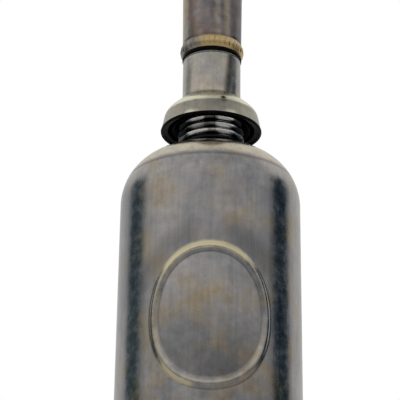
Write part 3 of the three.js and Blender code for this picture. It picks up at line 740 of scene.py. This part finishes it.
def hood_line(inset):
    """The skirt, corner and cone, moved in by the inset, as the edge point, the arc and the cone's line."""
    cone = Vector((math.sin(HOOD_SLOPE), math.cos(HOOD_SLOPE)))
    skirt = Vector((math.cos(HOOD_TAPER), math.sin(HOOD_TAPER)))
    cone_reach = cone.dot(Vector((CONE_TOP_RADIUS, cone_top))) - HOOD_CORNER
    skirt_reach = skirt.dot(Vector((hood_radius, hood_edge))) - HOOD_CORNER
    size = cone.x * skirt.y - cone.y * skirt.x
    center = (
        (cone_reach * skirt.y - skirt_reach * cone.y) / size,
        (cone.x * skirt_reach - skirt.x * cone_reach) / size,
    )
    corner = arc(center, HOOD_CORNER - inset, math.degrees(HOOD_TAPER), 90 - math.degrees(HOOD_SLOPE), 14)
    edge = (hood_radius - inset / math.cos(HOOD_TAPER), hood_edge)
    return center, corner, edge


corner_center, outer_corner, outer_edge = hood_line(0.0)
_, inner_corner, inner_edge = hood_line(HOOD_WALL)


def inner_cone(radius):
    """Height of the cone's inside at a radius."""
    return cone_top - (radius + HOOD_WALL / math.sin(HOOD_SLOPE) - CONE_TOP_RADIUS) * math.tan(HOOD_SLOPE)


SKIRT_ROWS = 4
hood_outline = line(outer_edge, outer_corner[0], SKIRT_ROWS) + outer_corner
fillet = CONE_TOP_RADIUS - (hood_hole + COLLAR_WIDTH)
hood_outline += [
    (CONE_TOP_RADIUS - fillet * share, cone_top + COLLAR * share**2) for share in (0.0, 0.35, 0.65, 0.85, 1.0)
]
hood_outline += [(hood_hole, collar_top), (hood_hole, inner_cone(hood_hole))]
hood_outline += inner_corner[::-1] + [inner_edge]
print(f"hood: skirt edge {2e3 * outer_edge[0]:.1f} mm across, {len(hood_outline)} points")

# %% Spin the hood and pierce the vent
VENT_RADIUS = 0.42 * MM
VENT_RISE = math.radians(30)
VENT_TURN = math.radians(14.5)
VENT_CURVE = 0.3
DIRT_RISE = VENT_RISE - math.radians(10)


def beside_vent(out, up):
    """A point or a direction in the half plane through the axis and the vent."""
    return Vector((out * math.sin(VENT_TURN), -out * math.cos(VENT_TURN), up))


vent_axis = beside_vent(math.cos(VENT_RISE), math.sin(VENT_RISE))
dirt_axis = beside_vent(math.cos(DIRT_RISE), math.sin(DIRT_RISE))
vent_root = beside_vent(*corner_center)
hood = bmesh.new()
spin_outline(hood, hood_outline)
vent_loops = []
for skin_radius in (HOOD_CORNER, HOOD_CORNER - HOOD_WALL):
    aim = vent_root + vent_axis * skin_radius
    middle = min(hood.verts, key=lambda v: (v.co - aim).length)
    bmesh.ops.dissolve_verts(hood, verts=[middle])
    face = min(hood.faces, key=lambda f: (f.calc_center_median() - aim).length)
    loop = list(face.verts)
    for vert in loop:
        along = vent_axis * (vert.co - aim).dot(vent_axis)
        outward = (vert.co - aim - along).normalized()
        vert.co = aim + outward * VENT_RADIUS + along * VENT_CURVE
    vent_loops += list(face.edges)
    bmesh.ops.delete(hood, geom=[face], context="FACES_ONLY")
bmesh.ops.bridge_loops(hood, edges=vent_loops)
bmesh.ops.recalc_face_normals(hood, faces=hood.faces)
hood_piece = finish_piece("hood", hood, hood_metal, "cap", ["hood"], 38)


# Painted highlights on the skirt's edge: their middle and reach, in degrees from the front
SKIRT_HIGHLIGHT_LEFT = (-24, 11)
SKIRT_HIGHLIGHT_RIGHT = (22, 10)


def hood_wear_and_highlight(point):
    """The round corner is worn bright and carries a painted highlight, the skirt's edge is a little worn all
    round, and two painted highlights sit on it beside the front.
    """
    if radius_of(point) <= hood_hole:
        return 0.0
    turn = turn_of(point)
    edge_highlight = max(bump_at(turn, *SKIRT_HIGHLIGHT_LEFT), bump_at(turn, *SKIRT_HIGHLIGHT_RIGHT))
    corner_band = 1.2 * bump_at(point.z, corner_center[1] + 2.0 * MM, 1.0 * MM)
    return max(corner_band, (0.2 + 0.8 * edge_highlight) * bump_at(point.z, hood_edge + 0.2 * MM, 0.6 * MM))


def hood_grime_and_shade(point):
    """Painted shade darkens the sheet inside, and dirt sits in the vent and has run down from it."""
    radius = radius_of(point)
    ceiling = min(inner_cone(radius) + 0.05 * MM, cone_top - 1.6 * MM)
    # Painted shade inside the hood.
    inside = 0.9 if radius < inner_edge[0] + 0.1 * MM and point.z < ceiling else 0.0
    from_vent = (point - vent_root - vent_axis * HOOD_CORNER).length
    from_dirt = (point - vent_root - dirt_axis * HOOD_CORNER).length
    in_vent = bump_at(from_vent, 0.0, 0.8 * MM)
    spot = 0.85 * bump_at(from_dirt, 0.0, 1.1 * MM)
    return max(inside, in_vent, spot, 0.3 * bump_at(from_dirt, 0.0, 4.5 * MM))


paint(hood_piece, hood_wear_and_highlight, hood_grime_and_shade)

# %% [markdown]
# ## The rubber rim
# A moulded ring hooks over the hood's edge from inside. All that shows from outside is its round bulb.

# %% Rubber rim
BULB = 0.33 * MM
LIP = 1.3 * MM
LIP_THICK = 0.6 * MM
GAP = 0.05 * MM
lip_out = inner_edge[0] - GAP
lip_in = lip_out - LIP_THICK
lean = math.tan(HOOD_TAPER)
bulb_center = (trim_radius - BULB, hood_edge - BULB + GAP)
rim_outline = arc(bulb_center, BULB, -180, 40, 20)
rim_outline += [(hood_radius - GAP, hood_edge - GAP), (lip_out, hood_edge - GAP)]
rim_outline += [(lip_out - LIP * lean, hood_edge + LIP), (lip_in - LIP * lean, hood_edge + LIP)]
rim_outline += [(lip_in - 0.02 * MM, hood_edge - GAP)]
turn_piece("rubber_rim", rim_outline, None, rubber, "cap", "hood_trim", 45)

# %% [markdown]
# ## The cap nut
# Inside the hood sits the turned nut that screws on the neck. Only its foot shows, from low down, with the
# chamfer that leads the neck in. The bore is left plain, just clear of the neck's crests, because the thread
# in the CAD solid is out of sight.

# %% Cap nut
NUT_LEAD_IN = 1.0 * MM
NUT_FOOT_WIDTH = 0.25 * MM
nut_recess = 7.4 * MM
nut_roof = 0.6 * MM
recess_foot = neck_mouth - 0.45 * MM
shoulder_of_nut = inner_cone(nut_radius) - 0.14 * MM
nut_top_radius = nut_radius - (nut_top - shoulder_of_nut) / math.tan(HOOD_SLOPE)
nut_outline = [
    (NECK_CREST + GAP, nut_foot + NUT_LEAD_IN),
    (nut_radius - NUT_FOOT_WIDTH, nut_foot),
    (nut_radius, nut_foot),
    (nut_radius, shoulder_of_nut),
    (nut_top_radius, nut_top),
    (NECK_BORE, nut_top),
    (NECK_BORE, nut_top - nut_roof + GAP),
    (nut_recess, nut_top - nut_roof + GAP),
    (nut_recess, recess_foot),
    (NECK_CREST + GAP, recess_foot),
]
nut_piece = turn_piece(
    "cap_nut_turned", nut_outline, 0.15 * MM, shaded_thread_metal, "cap", "cap_nut", 35
)
# The whole nut is painted dark, as shade inside the hood.
paint(nut_piece, grime_and_shade_at=lambda p: 1.0)

# %% [markdown]
# ## Tubes
# Both tubes are plain drawn tube. The lower one is brazed into the cap, and a painted dark reflection runs
# down its right side. The upper one flares slightly towards its mouth, which is worn bright, and faint pale
# and dark lines run up it, with a painted highlight along its left edge.

# %% Lower tube
TUBE_WALL = 0.9 * MM
LOWER_ROWS = 24
lower_outline = line((lower_radius, lower_foot), (lower_radius, lower_top), LOWER_ROWS)
lower_outline += [(lower_radius, lower_top)]
lower_outline += [(lower_radius - TUBE_WALL, lower_top), (lower_radius - TUBE_WALL, lower_foot)]
lower_piece = turn_piece(
    "lower_tube_drawn", lower_outline, 0.12 * MM, lower_metal, "cap", "lower_tube"
)


# Where the painted dark reflection runs down the lower tube, in degrees from the front, and how far it leans.
DARK_REFLECTION_TURN = 33
DARK_REFLECTION_LEAN = 8


def lower_wear(point):
    """The tube is a little worn just above the hood."""
    return 0.3 * bump_at(point.z, collar_top, 3.0 * MM)


def lower_dark_reflection_and_line(point):
    """A painted dark reflection runs down the right of the tube and leans to the front, and a dark line lies
    round its foot.
    """
    middle = DARK_REFLECTION_TURN + DARK_REFLECTION_LEAN * (point.z - collar_top) / (lower_top - collar_top)
    return max(0.8 * bump_at(turn_of(point), middle, 11), 0.4 * bump_at(point.z, collar_top, 0.3 * MM))


paint(lower_piece, lower_wear, lower_dark_reflection_and_line)

# %% Upper tube
UPPER_WALL = 0.8 * MM
UPPER_FOOT_RADIUS = 6.5 * MM
MOUTH_EDGE = 0.25 * MM
UPPER_ROWS = 40
upper_edge = (mouth_radius, mouth - MOUTH_EDGE)
upper_outline = line((UPPER_FOOT_RADIUS, upper_foot), upper_edge, UPPER_ROWS) + [upper_edge]
upper_outline += arc((mouth_radius - MOUTH_EDGE, mouth - MOUTH_EDGE), MOUTH_EDGE, 20, 90, 4)
upper_outline += [(mouth_radius - UPPER_WALL, mouth), (UPPER_FOOT_RADIUS - UPPER_WALL, upper_foot)]
upper_piece = turn_piece(
    "upper_tube_drawn", upper_outline, 0.06 * MM, upper_metal, "probe", "upper_tube", limit=60
)
# Lines up the tube: their place in degrees from the front, and how strong they are
DARK_REACH = 8
DARK_LINES = (
    (-150, 0.16), (-115, 0.2), (-44, 0.2), (-14, 0.08), (2, 0.13), (22, 0.13), (70, 0.1),
    (105, 0.18), (160, 0.16),
)
PALE_REACH = 14
# The pale lines at -76 and -60 degrees are a painted highlight along the tube's left edge.
PALE_LINES = (
    (-170, 0.25), (-130, 0.3), (-76, 0.6), (-60, 0.4), (-24, 0.2), (12, 0.26), (32, 0.3), (90, 0.26),
    (135, 0.3),
)
WANDER = 2.5


def lines_at(point, lines, reach, wave):
    """How strong the nearest line is at a point. The lines wander a little on their way up."""
    turn = turn_of(point) + WANDER * math.sin(point.z / wave)
    return max(amount * bump_at(turn, middle, reach) for middle, amount in lines)


def upper_wear_and_edge_highlight(point):
    """The mouth is worn bright, and faint pale lines run up the tube; the strong ones on its left side are a
    painted highlight along its edge.
    """
    return max(0.8 * bump_at(point.z, mouth, 0.8 * MM), lines_at(point, PALE_LINES, PALE_REACH, 5 * MM))


def upper_grime(point):
    """Faint dark lines run up the tube between the pale ones."""
    return lines_at(point, DARK_LINES, DARK_REACH, 4 * MM)


paint(upper_piece, upper_wear_and_edge_highlight, upper_grime)

# %% [markdown]
# ## The union
# A nipple with a flange and a fine thread stands on the lower tube. A washer lies on the flange, and the
# knurled ring that carries the upper tube screws down on it. The ring's bore is left plain, just clear of
# the nipple's crests, because its thread is out of sight.

# %% Union nipple
UNION_BORE = 4.1 * MM
UNION_CREST = 5.25 * MM
UNION_CREST_WIDTH = 0.12 * MM
UNION_DEPTH = 0.5 * MM
UNION_PITCH = 1.25 * MM
UNION_PHASE = 250
union_root = UNION_CREST - UNION_DEPTH
shank_radius = lower_radius - TUBE_WALL - GAP
nipple_outline = [
    (UNION_BORE, nipple_foot),
    (shank_radius, nipple_foot),
    (shank_radius, lower_top),
    (nipple_radius, lower_top),
    (nipple_radius, seal_foot - GAP),
    (union_root, seal_foot - GAP),
    (union_root, nipple_top),
    (UNION_BORE, nipple_top),
]
nipple = bmesh.new()
spin_outline(nipple, nipple_outline)
soften(nipple, 0.1 * MM)


def union_envelope(height):
    """A cone at the thread's top, down to its root."""
    return UNION_CREST - max(0.0, height - (nipple_top - UNION_DEPTH))


wind_thread(
    nipple, UNION_CREST, union_root, UNION_CREST_WIDTH, UNION_PITCH,
    seal_top, nipple_top - GAP, UNION_PHASE, union_envelope,
)
finish_piece("union_nipple_turned", nipple, ring_brass, "cap", ["union_nipple"], 35)

# %% Union washer
SEAL_PLAY = 0.15 * MM
seal_outline = ring_section(UNION_CREST + SEAL_PLAY, seal_radius, seal_foot, seal_top)
turn_piece(
    "union_seal_ring", seal_outline, 0.2 * MM, rubber, "union_seal", "union_washer",
    smooth=45, segments=3,
)

# %% Knurled ring
RING_HEIGHT = 2.8 * MM
RING_END = 6.6 * MM
BELLY = 0.42 * MM
KNURL_HEIGHT = 1.9 * MM
KNURL_DEPTH = 0.18 * MM
KNURL_TEETH = 36
KNURL_FADE = 0.2 * MM
RING_AROUND = KNURL_TEETH * 6
SLEEVE_WALL = 0.5 * MM
LEDGE_BORE = 4.5 * MM
LEDGE_THICK = 0.4 * MM
ring_top = ring_foot + RING_HEIGHT
ring_middle = ring_foot + RING_HEIGHT / 2
sleeve_radius = UPPER_FOOT_RADIUS - UPPER_WALL - GAP
sleeve_bore = sleeve_radius - SLEEVE_WALL
union_bore = UNION_CREST + GAP


def belly_at(height):
    """Radius of the ring's round belly at a height."""
    return RING_END + BELLY * (1 - ((height - ring_middle) / (RING_HEIGHT / 2)) ** 2)


BELLY_ROWS = 22
ledge_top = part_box("strainer")[0].z
ledge_foot = ledge_top - LEDGE_THICK
ring_outline = [(union_bore, ring_foot)]
for i in range(BELLY_ROWS + 1):
    height = ring_foot + RING_HEIGHT * i / BELLY_ROWS
    ring_outline.append((belly_at(height), height))
ring_outline += [(sleeve_radius, ring_top), (sleeve_radius, sleeve_top), (sleeve_bore, sleeve_top)]
ring_outline += [(sleeve_bore, ledge_top), (LEDGE_BORE, ledge_top)]
ring_outline += [(LEDGE_BORE, ledge_foot), (union_bore, ledge_foot)]
ring = bmesh.new()
spin_outline(ring, ring_outline, RING_AROUND)
for vert in ring.verts:
    radius = radius_of(vert.co)
    off_middle = abs(vert.co.z - ring_middle)
    if radius < sleeve_radius + SLEEVE_WALL or off_middle > RING_HEIGHT / 2:
        continue
    tooth = 0.5 + 0.5 * math.cos(math.atan2(vert.co.y, vert.co.x) * KNURL_TEETH)
    fade = min(1.0, max(0.0, (KNURL_HEIGHT / 2 - off_middle) / KNURL_FADE))
    groove = KNURL_DEPTH * (1 - tooth**0.6) * fade
    push_to(vert, radius - groove - KNURL_DEPTH / 2 * (1 - fade))
ring_piece = finish_piece("knurled_ring", ring, ring_brass, "probe", ["union_ring"], 60)


def ring_wear(point):
    """Fingers have worn it to bright brass on top of each tooth, most on the front and the right."""
    gripped = 0.25 + 0.75 * step_up(point.x, -3.6 * MM, -1.6 * MM)
    return gripped * (0.45 + 0.5 * bump_at(radius_of(point), belly_at(point.z), KNURL_DEPTH))


def ring_grime(point):
    """Dirt lies on the ring's top, against the tube."""
    return 0.4 * step_up(point.z, ring_middle + 0.7 * MM, ring_top)


paint(ring_piece, ring_wear, ring_grime)

# %% [markdown]
# ## The probe's mouth
# Just inside the mouth a three-armed spider holds the pin that lifts a drain's poppet. The spider's rim and
# hub are turned, and the arms are bars between them. The pin has a round nose and a collar, and a small
# hexagon nut locks it from below.

# %% Spider
SPIDER_RIM = 0.6 * MM
ARM = 0.9 * MM
HUB = 1.75 * MM
PIN = 1.0 * MM
ARMS = 3
FIRST_ARM = 0.25
PIN_AROUND = 48
hub_bore = PIN + GAP
spider = bmesh.new()
rim_in = spider_radius - SPIDER_RIM
spin_outline(spider, ring_section(rim_in, spider_radius, spider_foot, spider_top), 2 * PIN_AROUND)
spin_outline(spider, ring_section(hub_bore, HUB, spider_foot, spider_top), PIN_AROUND)
arm_in = (hub_bore + HUB) / 2
arm_out = (rim_in + spider_radius) / 2
for i in range(ARMS):
    turn = Matrix.Rotation((i + FIRST_ARM) / ARMS * 2 * math.pi, 3, "Z")
    bar = bmesh.ops.create_cube(spider, size=1.0)["verts"]
    bmesh.ops.scale(spider, verts=bar, vec=(arm_out - arm_in, ARM, spider_top - spider_foot))
    bmesh.ops.translate(spider, verts=bar, vec=((arm_in + arm_out) / 2, 0, (spider_foot + spider_top) / 2))
    bmesh.ops.rotate(spider, verts=bar, cent=(0, 0, 0), matrix=turn)
soften(spider, 0.1 * MM)
finish_piece("probe_spider_turned", spider, ring_brass, "probe", ["probe_spider"], 35)

# %% Pin and its nut
COLLAR_RADIUS = 1.5 * MM
COLLAR_HEIGHT = 0.75 * MM
pin_outline = [(0.0, pin_foot), (PIN, pin_foot), (PIN, spider_top + GAP), (COLLAR_RADIUS, spider_top + GAP)]
pin_outline += [(COLLAR_RADIUS, spider_top + COLLAR_HEIGHT), (PIN, spider_top + COLLAR_HEIGHT)]
pin_outline += arc((0.0, pin_tip - PIN), PIN, 0, 90, 12)
turn_piece(
    "probe_pin_turned", pin_outline, 0.08 * MM, lower_metal, "probe", "probe_pin",
    steps=PIN_AROUND, limit=50,
)
locknut = bmesh.new()
nut_height = pin_nut_top - pin_nut_foot
half_flat = Matrix.Rotation(math.radians(30), 3, "Z")
bmesh.ops.create_cone(
    locknut, cap_ends=True, segments=6, radius1=pin_nut_radius, radius2=pin_nut_radius, depth=nut_height
)
bmesh.ops.rotate(locknut, verts=locknut.verts, cent=(0, 0, 0), matrix=half_flat)
bmesh.ops.translate(locknut, verts=locknut.verts, vec=(0, 0, (pin_nut_foot + pin_nut_top) / 2))
soften(locknut, 0.15 * MM)
finish_piece("pin_locknut", locknut, ring_brass, "probe", ["pin_nut"], 35)

# %% [markdown]
# ## Solids that keep their shape
# The strainer, its clip and the washer in the cap are out of sight or already fine enough. They keep the
# CAD mesh and only get a finish in their own material slot.

# %% Finish the remaining solids
for node, material in (("strainer", ring_brass), ("strainer_clip", cup_metal), ("cap_washer", rubber)):
    for slot_of_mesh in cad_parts[node].material_slots:
        slot_of_mesh.material = material
print("solids with a new finish: strainer, strainer_clip, cap_washer")

# %% [markdown]
# ## Floor and surroundings
# The photograph has a plain white ground. A big pale floor takes the soft shadow, and the world is white
# to the camera. The floor is one-sided and open under the cup, because the photograph is taken from lower
# down: a camera below it looks straight through. Polished metal shows what stands round it, so the world
# is a little darker in front, as a room is behind a photographer. A black card and a gray one stand beside
# the object, out of the camera's sight, and draw the dark streaks near both edges of the cup.

# %% Floor
FLOOR_RADIUS = 1.5
FLOOR_LIGHT = 0.9
FLOOR_IN_GLOSS = 0.55


def build_floor_material():
    """Pale from above, a little darker in reflections, and clear from below."""
    material = bpy.data.materials.new("pale_floor")
    material.use_nodes = True
    tree = material.node_tree
    shader = tree.nodes["Principled BSDF"]
    shader.inputs["Base Color"].default_value = gray(FLOOR_LIGHT)
    shader.inputs["Roughness"].default_value = 0.8
    ray = add_node(tree, "ShaderNodeLightPath", -200, 300)
    dim = add_node(tree, "ShaderNodeBsdfDiffuse", 0, -200, {"Color": gray(FLOOR_IN_GLOSS)})
    side = add_node(tree, "ShaderNodeNewGeometry", 300, 300)
    clear = add_node(tree, "ShaderNodeBsdfTransparent", 300, -200)
    above = mix_shaders(tree, 300, 100, ray.outputs["Is Glossy Ray"], shader.outputs[0], dim.outputs[0])
    one_sided = mix_shaders(tree, 500, 100, side.outputs["Backfacing"], above, clear.outputs[0])
    tree.links.new(one_sided, tree.nodes["Material Output"].inputs["Surface"])
    return material


floor_mesh = bmesh.new()
floor_ends = [floor_mesh.verts.new((radius, 0, 0)) for radius in (cup_radius - FOOT_CORNER, FLOOR_RADIUS)]
floor_line = floor_ends + [floor_mesh.edges.new(floor_ends)]
bmesh.ops.spin(
    floor_mesh, geom=floor_line, cent=(0, 0, 0), axis=(0, 0, 1), angle=2 * math.pi, steps=AROUND, use_merge=True
)
floor_mesh.normal_update()
bmesh.ops.reverse_faces(floor_mesh, faces=[f for f in floor_mesh.faces if f.normal.z < 0])
floor = add_object("floor", floor_mesh, build_floor_material())

# %% World
world = bpy.data.worlds.new("studio")
bpy.context.scene.world = world
world.use_nodes = True
sky = world.node_tree
sky.nodes.clear()
direction = add_node(sky, "ShaderNodeTexCoord", -1000, 0)
parts = add_node(sky, "ShaderNodeSeparateXYZ", -800, 0, {0: direction.outputs["Generated"]})
rise = add_node(sky, "ShaderNodeValToRGB", -600, 0, {0: parts.outputs["Z"]})
# Light of the room in front, by how far up a direction points
FRONT_LIGHT = ((0.0, 0.28), (0.18, 0.42), (0.38, 0.74), (0.65, 0.74), (0.85, 0.66), (1.0, 0.72))
stops = rise.color_ramp.elements
while len(stops) < len(FRONT_LIGHT):
    stops.new(1.0)
for stop, (height, level) in zip(stops, FRONT_LIGHT):
    stop.position = height
    stop.color = gray(level)
side_light = remap(sky, -600, -300, parts.outputs["X"], -0.6, 0.6, 1.0, 0.85)
front = math_node(sky, -400, -100, "MULTIPLY", rise.outputs["Color"], side_light)
behind = remap(sky, -600, -600, parts.outputs["Y"], -0.02, 0.12)
behind_light = remap(sky, -600, -800, parts.outputs["Z"], 0.4, 0.75, 0.65, 0.8)
room = remap(sky, -200, -500, behind, 0.0, 1.0, front, behind_light)
ray = add_node(sky, "ShaderNodeLightPath", -600, 300)
seen = add_node(sky, "ShaderNodeBackground", -200, 200, {"Color": gray(1.0)})
around = add_node(sky, "ShaderNodeBackground", -200, 0, {"Color": gray(1.0), "Strength": room})
chosen = mix_shaders(sky, 0, 100, ray.outputs["Is Camera Ray"], around.outputs[0], seen.outputs[0])
add_node(sky, "ShaderNodeOutputWorld", 200, 100, {"Surface": chosen})


# %% Black and gray cards
CARD_CELLS = 20
CARD_SOFT = 0.3
CARD_DISTANCE = 0.3
CARD_HEIGHT = 0.275
QUARTER = Matrix.Rotation(math.pi / 2, 3, "X")


def card(name, azimuth, width, color, top_soft=CARD_SOFT):
    """A soft-edged card, at an azimuth in degrees from the front, that shows only in gloss."""
    bm = bmesh.new()
    bmesh.ops.create_grid(bm, x_segments=CARD_CELLS, y_segments=CARD_CELLS, size=0.5)
    cover = bm.verts.layers.float.new("cover")
    for vert in bm.verts:
        side = step_up(0.5 - abs(vert.co.x), 0.0, CARD_SOFT)
        vert[cover] = side * step_up(0.5 - vert.co.y, 0.0, top_soft)
    swing = Matrix.Rotation(math.radians(azimuth), 3, "Z")
    bmesh.ops.scale(bm, verts=bm.verts, vec=(width, CARD_HEIGHT, 1))
    bmesh.ops.rotate(bm, verts=bm.verts, cent=(0, 0, 0), matrix=QUARTER)
    bmesh.ops.translate(bm, verts=bm.verts, vec=(0, -CARD_DISTANCE, CARD_HEIGHT / 2))
    bmesh.ops.rotate(bm, verts=bm.verts, cent=(0, 0, 0), matrix=swing)
    material = bpy.data.materials.new(name)
    material.use_nodes = True
    tree = material.node_tree
    tree.nodes.clear()
    glow = add_node(tree, "ShaderNodeEmission", 0, 0, {"Color": (*color, 1.0)})
    clear = add_node(tree, "ShaderNodeBsdfTransparent", 0, 200)
    amount = add_node(tree, "ShaderNodeAttribute", -200, 300, attribute_name="cover")
    mixed = mix_shaders(tree, 200, 100, amount.outputs["Fac"], clear.outputs[0], glow.outputs[0])
    add_node(tree, "ShaderNodeOutputMaterial", 400, 0, {"Surface": mixed})
    obj = add_object(name, bm, material)
    obj.visible_camera = False
    obj.visible_diffuse = False
    obj.visible_shadow = False


card("black_card", 96.5, 0.25, (0.015, 0.04, 0.065), top_soft=0.15)
card("gray_card", -104.5, 0.235, (0.06, 0.10, 0.12))

# %% Lamp
LAMP_PLACE = Vector((0, 0, 0.9))
LAMP_AIM = Vector((0, 0, 0.07))
LAMP_SIZE = 0.45
LAMP_POWER = 1.0
light = bpy.data.lights.new("overhead", "AREA")
light.energy = LAMP_POWER
light.size = LAMP_SIZE
lamp = bpy.data.objects.new("overhead", light)
lamp.location = LAMP_PLACE
lamp.rotation_euler = (LAMP_AIM - LAMP_PLACE).to_track_quat("-Z", "Y").to_euler()
lamp.visible_glossy = False
bpy.context.scene.collection.objects.link(lamp)

# %% [markdown]
# ## The camera
# The photograph looks up at the object by about 22 degrees. The object leans by three quarters of a degree
# and stands a little right of the middle. The frame cuts off its foot and the top of the tube, so the camera
# does too.

# %% Camera
AIM_HEIGHT = 59.41 * MM
CAMERA_DISTANCE = 310.8 * MM
CAMERA_RISE = math.radians(22)
CAMERA_SIDE = -2.22 * MM
CAMERA_ROLL = math.radians(0.75)
LENS_MM = 131.3
SENSOR_MM = 36.0
camera_data = bpy.data.cameras.new("camera")
camera_data.lens = LENS_MM
camera_data.sensor_width = SENSOR_MM
camera_data.clip_start = 0.01
camera = bpy.data.objects.new("camera", camera_data)
bpy.context.scene.collection.objects.link(camera)
camera.location = (
    CAMERA_SIDE,
    -CAMERA_DISTANCE * math.cos(CAMERA_RISE),
    AIM_HEIGHT - CAMERA_DISTANCE * math.sin(CAMERA_RISE),
)
camera.rotation_euler = (
    Matrix.Rotation(math.pi / 2 + CAMERA_RISE, 3, "X") @ Matrix.Rotation(CAMERA_ROLL, 3, "Z")
).to_euler()
bpy.context.scene.camera = camera
bpy.context.scene.view_settings.view_transform = "Standard"
print("camera at", tuple(round(1e3 * c, 1) for c in camera.location), "mm")
